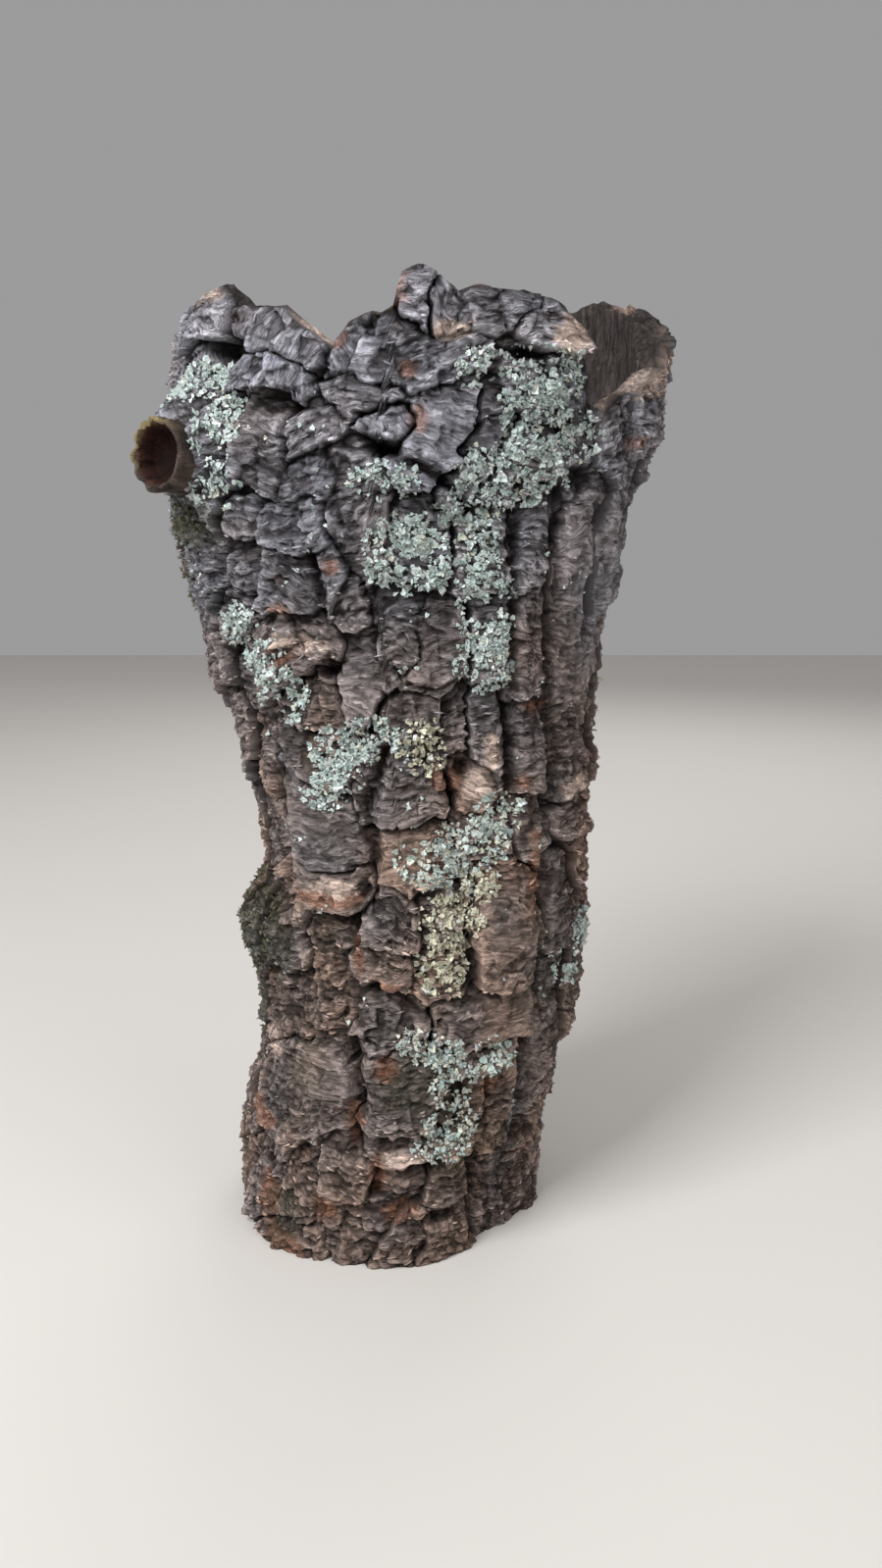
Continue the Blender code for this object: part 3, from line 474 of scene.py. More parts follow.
def bark_relief(angle, height):
    """How far the bark stands out from the smooth form, and what the finish needs to know."""
    def skin(wide, tall, seed):
        return skin_noise(angle, height, wide, tall, seed)

    def jagged(seed):
        return 1.3 * skin(4, 4, seed) + 0.7 * skin(2, 2, seed + 1)

    points, _ = smooth_surface(angle, height)
    _, half_x, _, half_y = section_at(height)
    around = (half_x + half_y) / 2
    wander = 5 * noise(points, 22, 1) + 2.2 * noise(points, 9, 2)
    drift = 5 * noise(points, 24, 3) + 2.2 * noise(points, 9, 4)
    out, owner, side, along, furrow = plate_relief(
        angle + (wander + jagged(101)) / around, height + drift + jagged(103), around)
    out += 3.0 * noise(points, 45, 5) + 0.9 * noise(points, 6, 6)
    rough = 0.5 + 0.5 * smoothstep(-0.4, 0.5, noise(points, 60, 7))
    out += 1.5 * rough * block_relief(points + 1.5 * noise(points, 5, 8)[..., None], 10.0, 20)
    front = np.cos(angle) > 0
    across = points[..., 0] + 0.35 * wander
    up = height + 0.35 * drift
    for x, z, wide, tall, deep in PITS:
        spread = ((across - x) / wide) ** 2 + ((up - z) / tall) ** 2
        out -= np.where(front, deep * np.exp(-spread * spread), 0)
    for route, wide, deep in FURROWS:
        away = distance_to_line(across, up, route)
        out -= np.where(front, deep * np.exp(-((away / wide) ** 2)), 0)
    for degrees, z, wide, tall, rise in SWELLINGS:
        sideways = turn_between(angle, math.radians(degrees)) * around / wide
        out += rise * np.exp(-(sideways**2) - ((height - z) / tall) ** 2)
    coarse = np.clip(out, DEEPEST, HIGHEST)

    bend = 0.02 * skin(13, 13, 111)
    wobble = 2.2 * skin(7, 9, 112)
    _, gap, level, _, tilt = skin_cells(angle + bend, height + wobble, 13, 8, 113)
    _, _, level_small, _, tilt_small = skin_cells(
        angle + 0.5 * bend, height + 0.7 * wobble, 5.5, 3.2, 114)
    blocky = smoothstep(-0.35, 0.45, skin(40, 50, 115))
    blocky = np.clip(blocky + smoothstep(130, 40, height) * 0.7, 0, 1)
    fine = (0.3 + 0.7 * blocky) * (2.4 * (level - 0.5) - 1.0 * tilt)
    fine -= 0.8 * blocky * np.exp(-((gap / 0.06) ** 2))
    fine += (0.4 + 0.6 * blocky) * (1.1 * (level_small - 0.5) - 0.5 * tilt_small)
    crumbs = (1 - np.abs(skin(7, 4.5, 122))) ** 2
    fine += 1.5 * (crumbs - 0.4) * smoothstep(-0.4, 0.4, skin(22, 26, 123))

    warp = 2.4 * skin(16, 30, 116) + 0.9 * skin(5, 8, 117)
    _, _, strand, _, _ = skin_cells(angle + bend, height + wobble, 9, 24, 124)
    layered = smoothstep(-0.6, 0.2, skin(30, 45, 118)) * (1 - 0.5 * blocky)
    fine += (0.25 + 0.75 * layered) * (1.5 * ledges(along, warp + 6 * strand, 6.1)
                                       + 0.8 * ledges(along, 1.3 * warp - 5 * strand, 2.7))
    fine += 0.45 * skin(1.8, 1.8, 119)
    fine += 0.5 * skin(4.5, 1.7, 120)
    upright = np.abs(skin(6, 26, 121))
    level_crack = np.abs(skin(24, 6, 125))
    fine -= 1.0 * (1 - smoothstep(0.0, 0.09, upright)) * (0.3 + 0.7 * layered)
    fine -= 1.2 * (1 - smoothstep(0.0, 0.07, level_crack)) * smoothstep(0.0, 0.4, skin(18, 18, 126))
    fine *= 1 - 0.35 * furrow
    calm = calm_share(across, up) * (np.cos(angle) > -0.1)
    streak = 0.55 * ledges(along, 1.6 * warp + 9 * strand, 1.9)
    fine = fine * (1 - WORN_OFF * calm) + 0.7 * calm * streak
    return coarse + fine, {"owner": owner, "side": side, "along": along, "furrow": furrow,
                           "level": level, "calm": calm}


# %% [markdown]
# ## The tube
#
# One closed surface runs up the outside, over the torn rim, down the hollow and across the foot.
# A grid makes that easy: the columns go round, and the rows simply carry on from the outside to
# the inside. The grid is far finer than needed, so that the Decimate modifier can then spend the
# triangles where the relief is.

# %% Outside of the tube as a grid
COLUMNS, OUTER_ROWS = 860, 640
grid_angle = np.linspace(-math.pi, math.pi, COLUMNS, endpoint=False)
rim = rim_height(grid_angle)
share = np.linspace(0, 1, OUTER_ROWS)[:, None]
grid_height = share * rim
grid_spread = np.broadcast_to(grid_angle, grid_height.shape)
base_points, base_outward = smooth_surface(grid_spread, grid_height)
rise, facts = bark_relief(grid_spread, grid_height)


def bark_noise(wide, tall, seed):
    """Noise at every point of the outside grid."""
    return skin_noise(grid_spread, grid_height, wide, tall, seed)


print("relief from", rise.min().round(1), "to", rise.max().round(1), "mm")


# %% Soften, fold and close the grid
def blur(field, radius):
    """Mean over a square of grid points each way: first up the branch, and then round it."""
    width = 2 * radius + 1
    for mode in ("edge", "wrap"):
        total = np.cumsum(np.pad(field, ((radius + 1, radius), (0, 0)), mode=mode), axis=0)
        field = ((total[width:] - total[:-width]) / width).T
    return field


DROOP = 0.22  # share of a ledge's height by which its edge hangs down


def lap_over(outside, rise):
    """Lets high ledges droop over the hollows below them."""
    droop = np.clip(rise - blur(rise, 9), 0, 6) * DROOP
    folded = outside.copy()
    folded[..., 2] -= droop * smoothstep(2, 14, outside[..., 2])
    return folded


STUB_LIP = np.array([-101.0, -60.0, 403.0])  # middle of the side branch's open end
STUB_DIRECTION = unit(np.array([-0.58, -0.81, 0.03]))


def sink_socket(points):
    """Pushes the bark back behind the side branch's hole, so that nothing shows through it.

    All that lies within 12.5 mm of the branch's line goes back to 20 mm behind its end.
    """
    offset = points - STUB_LIP
    depth = offset @ STUB_DIRECTION
    radius = np.linalg.norm(offset - depth[..., None] * STUB_DIRECTION, axis=-1)
    within = (1 - smoothstep(12.5, 15.5, radius)) * (depth > -40)
    return points - STUB_DIRECTION * (within * np.clip(depth + 20, 0, None))[..., None]


outside = base_points + base_outward * rise[..., None]
outside = lap_over(outside, rise)
outside[..., 2] = np.maximum(outside[..., 2], 0)
outside = sink_socket(outside)

INNER_ROWS, RIM_ROWS, FOOT_ROWS = 150, 9, 5


def hollow_surface(angle, height):
    """The hollow's wall: the smooth form moved in by the bark's thickness."""
    points, outward = smooth_surface(angle, height)
    thickness = WALL + (WALL_AT_RIM - WALL) * smoothstep(380, 460, height)
    thickness = thickness + 1.6 * noise(points, 34, 41)
    return points - outward * thickness[..., None], outward


def bridge(start, end, rows, bulge, seed):
    """Rows that carry the surface from one edge to another, with a rough bulge between."""
    mix = np.linspace(0, 1, rows + 2)[1:-1, None, None]
    between = start + mix * (end - start)
    spread = np.broadcast_to(grid_angle, between.shape[:2])
    level = between[..., 2] + 40 * mix[..., 0]
    broken = 1.2 * skin_noise(spread, level, 3.0, 5.0, seed)
    broken += 1.6 * skin_noise(spread, level, 9.0, 9.0, seed + 1)
    between[..., 2] += np.sin(math.pi * mix[..., 0]) * bulge * (1.5 + broken)
    return between


share = np.linspace(1, 0, INNER_ROWS)[:, None]
inner_height = share * (rim - 1.5)
inner_spread = np.broadcast_to(grid_angle, inner_height.shape)
inside, inside_outward = hollow_surface(inner_spread, inner_height)


def wall_noise(wide, tall, seed):
    """Noise at every point of the hollow's wall."""
    return skin_noise(inner_spread, inner_height, wide, tall, seed)


fibre = 1.2 * np.abs(wall_noise(3.4, 26, 131))
fibre += 1.4 * wall_noise(9.0, 30, 132)
fibre += 0.8 * wall_noise(3.0, 4.0, 133)
fibre += 1.4 * np.abs(wall_noise(9.0, 6.0, 134))
fibre = fibre * smoothstep(0, 6, inner_height) - 0.4
inside = inside + inside_outward * fibre[..., None]
over = bridge(outside[-1], inside[0], RIM_ROWS, 1.0, 141)
under = bridge(inside[-1], outside[0], FOOT_ROWS, 0.0, 143)
tube = np.concatenate([outside, over, inside, under])
print("grid of", tube.shape[0], "x", tube.shape[1], "points")

# %% [markdown]
# ## Colour that follows the relief
#
# Weathered cork is pale on its crests, where sun and rain bleach it, and the crests also get a
# painted highlight; its furrows are painted nearly black, as painted shade. Both come from one
# measurement: how far a point stands above the mean of what is round it. Torn cork is cream or
# orange because the air has not yet greyed it, and it is placed where pieces have broken away.

# %% Palette and small helpers
def linear(red, green, blue):
    """Linear-light colour from the 0 to 255 numbers of a paint chart."""
    value = np.array([red, green, blue]) / 255
    return np.where(value <= 0.04045, value / 12.92, ((value + 0.055) / 1.055) ** 2.4)


# The darkest colour is painted shade for the furrows, and the palest is bleached cork with a painted
# highlight for the crests.
CREVICE_SHADE, SHADE = linear(30, 25, 23), linear(72, 65, 62)
WEATHERED, BLEACHED_AND_HIGHLIT = linear(112, 106, 105), linear(196, 191, 190)
LILAC, BROWN = linear(108, 110, 121), linear(124, 98, 82)
ORANGE, CREAM, RUST = linear(172, 118, 90), linear(242, 216, 202), linear(104, 70, 54)
MOSS, ALGAE = linear(58, 62, 44), linear(96, 104, 78)
PALE_LICHEN, YELLOW_LICHEN = linear(240, 253, 248), linear(248, 243, 220)
DULL_LICHEN, DULL_YELLOW = linear(158, 181, 174), linear(170, 164, 138)


def blend(first, second, share):
    """First colour where share is 0 and second where it is 1."""
    share = share[..., None]
    return first * (1 - share) + second * share


def blob_mask(across, up, blobs, ragged):
    """1 inside any of the blobs, which are across, up, half width, half height, and 0 outside."""
    inside = np.zeros(across.shape)
    for x, z, wide, tall in blobs:
        away = np.hypot((across - x) / wide, (up - z) / tall) + ragged
        inside = np.maximum(inside, 1 - smoothstep(0.75, 1.15, away))
    return inside


# %% Where the cork is torn or mossy
# Across, up, half width and half height of each place
TORN_ORANGE = [
    (10, 470, 4, 11), (34, 252, 6, 6), (-62, 24, 6, 12), (-17, 451, 5, 5), (15, 437, 4, 4),
    (19, 417, 4, 6), (-21, 353, 4, 4), (-47, 333, 5, 3), (-46, 312, 7, 4), (74, 287, 5, 3),
    (29, 256, 5, 6), (69, 251, 4, 3), (-24, 195, 16, 4), (-11, 165, 3, 10), (0, 153, 9, 3),
    (-3, 51, 4, 12), (-52, 4, 11, 6), (-66, 67, 8, 8), (75, 205, 3, 22), (30, 58, 9, 4),
    (-30, 30, 6, 8), (8, 28, 8, 5), (-14, 78, 4, 12), (52, 92, 5, 4), (2, 108, 5, 7),
    (120, 410, 6, 3),
]
TORN_CREAM = [
    (-22, 458, 8, 5), (33, 453, 8, 5), (88, 452, 9, 9), (125, 440, 14, 9), (47, 250, 8, 10),
    (53, 266, 4, 8), (97, 243, 7, 5), (-22, 200, 13, 4), (-58, 106, 5, 9), (12, 61, 13, 3),
    (-40, 317, 16, 4), (-78, 477, 8, 6), (138, 452, 6, 12),
]
MOSSY = [(-66, 172, 16, 28), (-60, 160, 14, 20), (-88, 374, 16, 14), (-72, 120, 10, 20)]

across, up = outside[..., 0], grid_height
facing = np.cos(grid_spread) > -0.15
ragged = 0.30 * bark_noise(4, 4, 151)
ragged += 0.22 * bark_noise(1.6, 1.6, 152)
orange = blob_mask(across, up, TORN_ORANGE, ragged) * facing
cream = blob_mask(across, up, TORN_CREAM, ragged) * facing
mossy = blob_mask(across, up, MOSSY, 0.6 * ragged) * facing
print(f"torn cork on {(orange + cream > 0.5).mean():.1%} of the outside")


# %% Bark colour
def stands_out(reach, span):
    """0 in hollows and 1 on crests: half a span below or above the mean within reach points."""
    return np.clip(0.5 + (rise - blur(rise, reach)) / span, 0, 1)


edge, crest, ridge = stands_out(1, 1.4), stands_out(4, 3.4), stands_out(16, 11.0)
height_share = smoothstep(60, 330, grid_height)
soft = bark_noise(20, 26, 161)
speck = bark_noise(2.0, 1.6, 162)
# Painted light: shade is low in hollows and furrows, which is painted shade, and high on crests,
# which is partly a painted highlight. It is also paler where the bark is worn smooth, and speckled
# at random.
shade = 0.26 * edge + 0.30 * crest + 0.44 * ridge + 0.09 * speck + 0.05 * soft
shade -= 0.10 * facts["furrow"] * (1 - ridge)
shade += 0.13 * facts["calm"] * (1 - facts["furrow"])
RAMP_STEPS = np.array([0.14, 0.36, 0.56, 0.84])
RAMP = np.stack([CREVICE_SHADE, SHADE, WEATHERED, BLEACHED_AND_HIGHLIT])
colour = np.stack([np.interp(shade, RAMP_STEPS, RAMP[:, k]) for k in range(3)], -1)

plate_rng = np.random.default_rng(17)
plate_tone = plate_rng.uniform(-1, 1, len(all_plates()))[facts["owner"]]
plate_hue = plate_rng.uniform(-1, 1, len(all_plates()))[facts["owner"]]
tone = 0.08 * plate_tone + 0.16 * (facts["level"] - 0.5)
colour = colour * (1 + tone)[..., None]
upper = smoothstep(210, 420, grid_height)
warm = np.clip(0.42 - 0.38 * upper + 0.16 * plate_hue + 0.20 * soft, 0, 1)
cool = np.clip(0.06 + 0.46 * upper - 0.08 * plate_hue - 0.12 * soft, 0, 1)
# Painted light: the bark is painted lighter towards the top and darker towards the foot, as light
# from above falls on it.
PAINTED_LIGHT_BY_HEIGHT = np.array([(0, 0.74), (150, 0.76), (330, 0.74), (400, 0.98), (480, 1.12)])
colour = colour * np.interp(grid_height, *PAINTED_LIGHT_BY_HEIGHT.T)[..., None]
luminance = colour.mean(-1, keepdims=True)
colour = blend(colour, BROWN * luminance / BROWN.mean(), warm)
colour = blend(colour, LILAC * luminance / LILAC.mean(), cool)
fresh = 0.45 + 0.55 * crest
rusty = smoothstep(0.45, 0.8, bark_noise(7, 5, 163))
rusty = rusty * smoothstep(0.62, 0.40, shade) * (1 - 0.6 * height_share)
green = smoothstep(0.2, 0.7, bark_noise(30, 40, 164)) * (1 - height_share)
# Tint, its brightness in the deepest shade, how much it gains on the crests, where it lies
TINTS = [
    (ORANGE, 0.3, 0.9, np.clip(orange * fresh, 0, 0.6)),
    (CREAM, 0.48, 0.72, np.clip(1.2 * cream * fresh, 0, 0.92)),
    (RUST, 0.4, 1.0, 0.55 * rusty),
    (MOSS, 0.5, 1.0, 0.5 * mossy),
    (ALGAE, 0.3, 0.9, 0.22 * green),
]
for tint, start, gain, lies in TINTS:
    colour = blend(colour, tint * (start + gain * shade)[..., None], lies)
print("mean bark colour", colour.mean((0, 1)).round(3))

# %% [markdown]
# ## From grid to mesh
#
# The grid's colour and grain go into the mesh as attributes, which the Decimate modifier carries
# along as it thins the mesh. That is why the colour is worked out first.


# %% Mesh helpers
def mesh_from(name, points, triangles_or_quads):
    """A mesh from an array of points in metres and an array of faces, put in all at once."""
    faces = np.asarray(triangles_or_quads, dtype=np.int32)
    mesh = bpy.data.meshes.new(name)
    mesh.vertices.add(len(points))
    mesh.vertices.foreach_set("co", np.asarray(points, np.float32).ravel())
    mesh.loops.add(faces.size)
    mesh.loops.foreach_set("vertex_index", faces.ravel())
    mesh.polygons.add(len(faces))
    mesh.polygons.foreach_set("loop_start", np.arange(0, faces.size, faces.shape[1], dtype=np.int32))
    mesh.polygons.foreach_set("use_smooth", np.ones(len(faces), bool))
    mesh.update(calc_edges=True)
    mesh.validate()
    return mesh


def set_attribute(mesh, name, values):
    """Gives each vertex a number, a vector or a colour, whichever the array's width says."""
    width = 1 if values.ndim == 1 else values.shape[1]
    kind, field = {1: ("FLOAT", "value"), 3: ("FLOAT_VECTOR", "vector"),
                   4: ("FLOAT_COLOR", "color")}[width]
    layer = mesh.attributes.new(name, kind, "POINT")
    layer.data.foreach_set(field, np.asarray(values, np.float32).ravel())


def set_colour(mesh, colour):
    """Gives each vertex its colour, which stays between nearly black and white."""
    flat = np.clip(colour.reshape(-1, 3), 0.002, 1)
    set_attribute(mesh, "colour", np.concatenate([flat, np.ones((len(flat), 1))], -1))


def repeated(faces, count, points_each):
    """Faces of one small shape, repeated for count shapes whose points follow each other."""
    return (faces[None] + (np.arange(count) * points_each)[:, None, None]).reshape(-1, 3)


def wrapped_quads(rows, columns, closed):
    """Corner numbers of a grid's quads, facing outwards, joined up in its columns."""
    index = np.arange(rows * columns).reshape(rows, columns)
    right = np.roll(index, -1, axis=1)
    if closed:
        up, up_right = np.roll(index, -1, axis=0), np.roll(right, -1, axis=0)
        return np.stack([index, right, up_right, up], -1).reshape(-1, 4)
    return np.stack([index[:-1], right[:-1], right[1:], index[1:]], -1).reshape(-1, 4)


def to_place(points):
    """Millimetres from the table's origin to metres from the solid model's."""
    return (points - np.array([MIDDLE[0], MIDDLE[1], 0])) * MM


def add_piece(name, mesh, material):
    """Links a piece that shows the mesh, at the origin, unturned and unscaled."""
    made = bpy.data.objects.new(name, mesh)
    bpy.context.scene.collection.objects.link(made)
    mesh.materials.append(material)
    return made


def apply_modifiers(piece):
    """Gives the piece the mesh that its modifiers make."""
    graph = bpy.context.evaluated_depsgraph_get()
    mesh = bpy.data.meshes.new_from_object(piece.evaluated_get(graph))
    piece.modifiers.clear()
    piece.data = mesh


# %% [markdown]
# ## Finishes
#
# All the finishes here are matt. What sets them apart is their grain, so the grain is one shader
# group with its own sockets, and each material feeds it its own coordinates: the bark's grain
# follows each plate, the lichen's is the same all ways.

# %% Grain group
def fill(tree, node, inputs):
    """Gives each of a node's inputs a constant, or a link from another node's output."""
    for name, value in inputs.items():
        if isinstance(value, bpy.types.NodeSocket):
            tree.links.new(value, node.inputs[name])
        else:
            node.inputs[name].default_value = value


def add_node(tree, kind, inputs, **settings):
    """A new node with its settings and inputs."""
    node = tree.nodes.new("ShaderNode" + kind)
    for name, value in settings.items():
        setattr(node, name, value)
    fill(tree, node, inputs)
    return node


def make_grain_group():
    """Streaks and specks: two noises, one stretched, that shade the colour and raise the bump."""
    group = bpy.data.node_groups.new("matt_grain", "ShaderNodeTree")
    for name in ("Place", "Speck Place"):
        group.interface.new_socket(name=name, in_out="INPUT", socket_type="NodeSocketVector")
    for name, usual in (("Streak Size", 1.0), ("Speck Size", 1.0), ("Contrast", 0.5)):
        made = group.interface.new_socket(name=name, in_out="INPUT", socket_type="NodeSocketFloat")
        made.default_value = usual
    for name in ("Shade", "Height"):
        group.interface.new_socket(name=name, in_out="OUTPUT", socket_type="NodeSocketFloat")
    given = group.nodes.new("NodeGroupInput").outputs
    streak = add_node(group, "TexNoise", {"Vector": given["Place"], "Scale": given["Streak Size"],
                                          "Detail": 4, "Roughness": 0.65})
    speck = add_node(group, "TexNoise", {"Vector": given["Speck Place"],
                                         "Scale": given["Speck Size"],
                                         "Detail": 5, "Roughness": 0.7})
    crisp = add_node(group, "MapRange", {"Value": streak.outputs["Fac"],
                                         "From Min": 0.36, "From Max": 0.62})
    both = add_node(group, "Math", {0: crisp.outputs["Result"], 1: speck.outputs["Fac"]},
                    operation="ADD")
    centred = add_node(group, "Math", {0: both.outputs[0], 1: 1.0}, operation="SUBTRACT")
    shade = add_node(group, "Math", {0: centred.outputs[0], 1: given["Contrast"], 2: 1.0},
                     operation="MULTIPLY_ADD")
    fill(group, group.nodes.new("NodeGroupOutput"),
         {"Shade": shade.outputs[0], "Height": both.outputs[0]})
    return group


GRAIN = make_grain_group()
print("grain group sockets:", [item.name for item in GRAIN.interface.items_tree])


# %% Materials
MILLIMETRES_PER_METRE = 1000.0


def matt_material(name, roughness, bump, streak_place, streak_size, speck_size, contrast):
    """A matt finish whose colour attribute is shaded by the grain.

    streak_place is the name of a vector attribute in millimetres, or None for Object coordinates.
    Sizes are lumps per millimetre, and bump is the grain's height in metres.
    """
    material = bpy.data.materials.new(name)
    material.use_nodes = True
    tree = material.node_tree
    metres = add_node(tree, "TexCoord", {}).outputs["Object"]
    place = add_node(tree, "VectorMath", {0: metres, "Scale": MILLIMETRES_PER_METRE},
                     operation="SCALE").outputs["Vector"]
    along = place
    if streak_place:
        along = add_node(tree, "Attribute", {}, attribute_name=streak_place).outputs["Vector"]
    grain = add_node(tree, "Group", {"Place": along, "Speck Place": place, "Contrast": contrast,
                                     "Streak Size": streak_size, "Speck Size": speck_size},
                     node_tree=GRAIN)
    colour = add_node(tree, "Attribute", {}, attribute_name="colour")
    shaded = add_node(tree, "VectorMath", {0: colour.outputs["Color"],
                                           "Scale": grain.outputs["Shade"]}, operation="SCALE")
    raised = add_node(tree, "Bump", {"Height": grain.outputs["Height"], "Distance": bump,
                                     "Strength": 1.0})
    fill(tree, tree.nodes["Principled BSDF"], {
        "Base Color": shaded.outputs["Vector"], "Normal": raised.outputs["Normal"],
        "Roughness": roughness, "Specular IOR Level": 0.25})
    return material


BARK = matt_material("weathered bark", 0.92, 0.0016, "grain", 1.0, 0.9, 1.15)
HEART = matt_material("dark fibrous wood", 0.85, 0.0009, "grain", 1.0, 0.7, 0.8)
LICHEN = matt_material("leafy lichen", 0.95, 0.0004, None, 0.6, 1.4, 0.45)
print("materials:", ", ".join(material.name for material in (BARK, HEART, LICHEN)))

# %% [markdown]
# ## The finished tube
#
# The inside of a cork tube is where it left the wood: dark, fibrous, with long upright streaks.
# The torn rim between the two shows fresh cork in patches.

# %% Colour of the inside, rim and foot
INNER_DARK, INNER_TAN = linear(66, 60, 60), linear(118, 104, 94)
NEWLY_TORN = [(58, 15), (-22, 8)]  # angle and half width in degrees
streaks = 0.5 + 0.3 * wall_noise(2.2, 45, 171)
streaks += 0.25 * wall_noise(7, 60, 172)
patches = smoothstep(0.1, 0.6, wall_noise(40, 60, 173))
inner_colour = blend(INNER_DARK, INNER_TAN, np.clip(0.15 + 0.4 * streaks * patches, 0, 1))
inner_colour = inner_colour * (0.55 + 0.75 * streaks)[..., None]
around_rim = np.broadcast_to(grid_angle, (RIM_ROWS, COLUMNS))
rim_rows = np.broadcast_to(np.linspace(0, 12, RIM_ROWS)[:, None], (RIM_ROWS, COLUMNS))
fresh_rim = smoothstep(-0.1, 0.5, skin_noise(around_rim, rim_rows, 16, 30, 174))
rim_degrees = np.degrees(around_rim)
newly_torn = sum(np.exp(-(((rim_degrees - at) / half) ** 4)) for at, half in NEWLY_TORN)
rim_shade = 0.5 + 0.35 * skin_noise(around_rim, rim_rows, 2.0, 2.0, 175)
rim_colour = blend(SHADE, CREAM * 0.55 + ORANGE * 0.35, 0.75 * fresh_rim)
rim_colour = blend(rim_colour, CREAM, 0.75 * newly_torn)
rim_colour = rim_colour * (0.45 + 0.9 * rim_shade)[..., None]
foot_colour = np.broadcast_to(linear(150, 120, 98), (FOOT_ROWS, COLUMNS, 3))
tube_colour = np.concatenate([colour, rim_colour, inner_colour, foot_colour])

STREAKS_ACROSS, STREAKS_ALONG = 0.10, 0.62  # streaks per millimetre across a plate and along it
WALL_STREAKS = np.array([0.5, 0.5, 0.06])
GRAIN_APART = 13.0  # keeps the grain of one plate from going on into the next
grain_place = np.zeros(tube.shape)
grain_place[:OUTER_ROWS, :, 0] = STREAKS_ACROSS * facts["side"]
grain_place[:OUTER_ROWS, :, 1] = STREAKS_ALONG * facts["along"]
grain_place[:OUTER_ROWS, :, 2] = GRAIN_APART * facts["owner"] + 0.5 * rise
grain_place[OUTER_ROWS:] = tube[OUTER_ROWS:] * WALL_STREAKS

# %% Build and thin the tube
TRUNK_TRIANGLES = 192000
quads = wrapped_quads(tube.shape[0], COLUMNS, closed=True)
trunk_mesh = mesh_from("bark_tube", to_place(tube.reshape(-1, 3)), quads)
set_colour(trunk_mesh, tube_colour)
set_attribute(trunk_mesh, "grain", grain_place.reshape(-1, 3))
bark_tube = add_piece("bark_tube", trunk_mesh, BARK)
thin = bark_tube.modifiers.new("thin", "DECIMATE")
thin.ratio = TRUNK_TRIANGLES / (2 * len(quads))
apply_modifiers(bark_tube)
bark_tube.data.shade_smooth()
print("bark tube:", len(bark_tube.data.polygons), "triangles, attributes",
      [layer.name for layer in bark_tube.data.attributes])
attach(bark_tube, "root")
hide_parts("trunk")

# %% [markdown]
# ## The side branch
#
# A small branch broke off here long ago. Its wood has rotted back, which leaves a dark reddish hole
# with a thin rim, and its depths are painted nearly black as painted shade. A profile turned round
# the branch's own axis gives the shape, and noise that runs along the fibres roughens it.

# %% Side branch stub
# Depth along the branch's own line and radius: up the outside, over the lip, down the hole
STUB_PROFILE = np.array([
    (-33, 0), (-33, 9), (-33, 18), (-24, 17.6), (-15, 16.8), (-9, 16.5), (-4, 16.9), (-1, 16.6),
    (0.4, 15.6), (0.2, 14.2), (-2, 13.1), (-5, 12.6), (-9, 12.0), (-11.5, 9.0), (-12.5, 4.5),
    (-12.8, 0),
])
STUB_ROWS, STUB_COLUMNS = 90, 150


def stub_surface():
    """Points lip + axis * depth + radius * (side cos t + up sin t), with the profile's radius.

    Also gives each point's place along the profile, its turn t and its fibre's height.
    """
    side = unit(np.cross(STUB_DIRECTION, (0, 0, 1)))
    up = np.cross(side, STUB_DIRECTION)
    place, turn = np.meshgrid(np.linspace(0, len(STUB_PROFILE) - 1, STUB_ROWS),
                              np.linspace(0, 2 * math.pi, STUB_COLUMNS, endpoint=False),
                              indexing="ij")
    depth, radius = (np.interp(place, np.arange(len(STUB_PROFILE)), column)
                     for column in STUB_PROFILE.T)
    fibre = 0.9 * skin_noise(turn, 4 * place, 26, 22, 181)
    fibre += 0.5 * skin_noise(turn, 4 * place, 12, 9, 182)
    fibre += 0.9 * (1 - smoothstep(7, 9, place)) * skin_noise(turn, 4 * place, 40, 7, 183)
    fibre = fibre * np.clip(radius / 10, 0, 1)
    inside_hole = (place > 9.5).astype(float)
    depth = depth + 1.4 * fibre * smoothstep(5, 9, place) - 0.8 * inside_hole * fibre
    spread = radius + fibre * (1 - 1.6 * inside_hole)
    points = STUB_LIP + STUB_DIRECTION * depth[..., None] + spread[..., None] * (
        side * np.cos(turn)[..., None] + up * np.sin(turn)[..., None])
    return points, place, turn, fibre


stub_points, stub_place, stub_turn, stub_fibre = stub_surface()
stub_points[0] = stub_points[0].mean(0)
stub_points[-1] = stub_points[-1].mean(0)
in_hole = smoothstep(8.5, 10.0, stub_place)
stub_colour = blend(linear(104, 90, 82), linear(92, 54, 44), in_hole)
stub_colour = stub_colour * (0.72 + 0.42 * stub_fibre)[..., None]
# Painted shade: the deep end of the hole is painted nearly black.
stub_colour = blend(stub_colour, linear(28, 18, 16), 0.75 * smoothstep(10, 14, stub_place))
# Painted highlight: the upper left side of the lip, which faces the window light, is painted pale.
lit_lip_side = np.cos(stub_turn - 0.9) * np.exp(-(((stub_place - 8) / 1.2) ** 2))
stub_colour = blend(stub_colour, linear(186, 166, 120), np.clip(1.1 * lit_lip_side, 0, 0.8))
stub_grain = np.stack([2.2 * stub_turn * 16, 1.2 * stub_place, stub_fibre], -1)
stub_mesh = mesh_from("knot_hole", to_place(stub_points.reshape(-1, 3)),
                      wrapped_quads(STUB_ROWS, STUB_COLUMNS, closed=False))
set_colour(stub_mesh, stub_colour)
set_attribute(stub_mesh, "grain", stub_grain.reshape(-1, 3))
knot_hole = add_piece("knot_hole", stub_mesh, HEART)
shape = bmesh.new()
shape.from_mesh(knot_hole.data)
bmesh.ops.remove_doubles(shape, verts=shape.verts, dist=1e-6)
bmesh.ops.recalc_face_normals(shape, faces=shape.faces)
shape.to_mesh(knot_hole.data)
shape.free()
print("knot hole:", len(knot_hole.data.polygons), "faces")
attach(knot_hole, "root")
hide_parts("branch_stub")
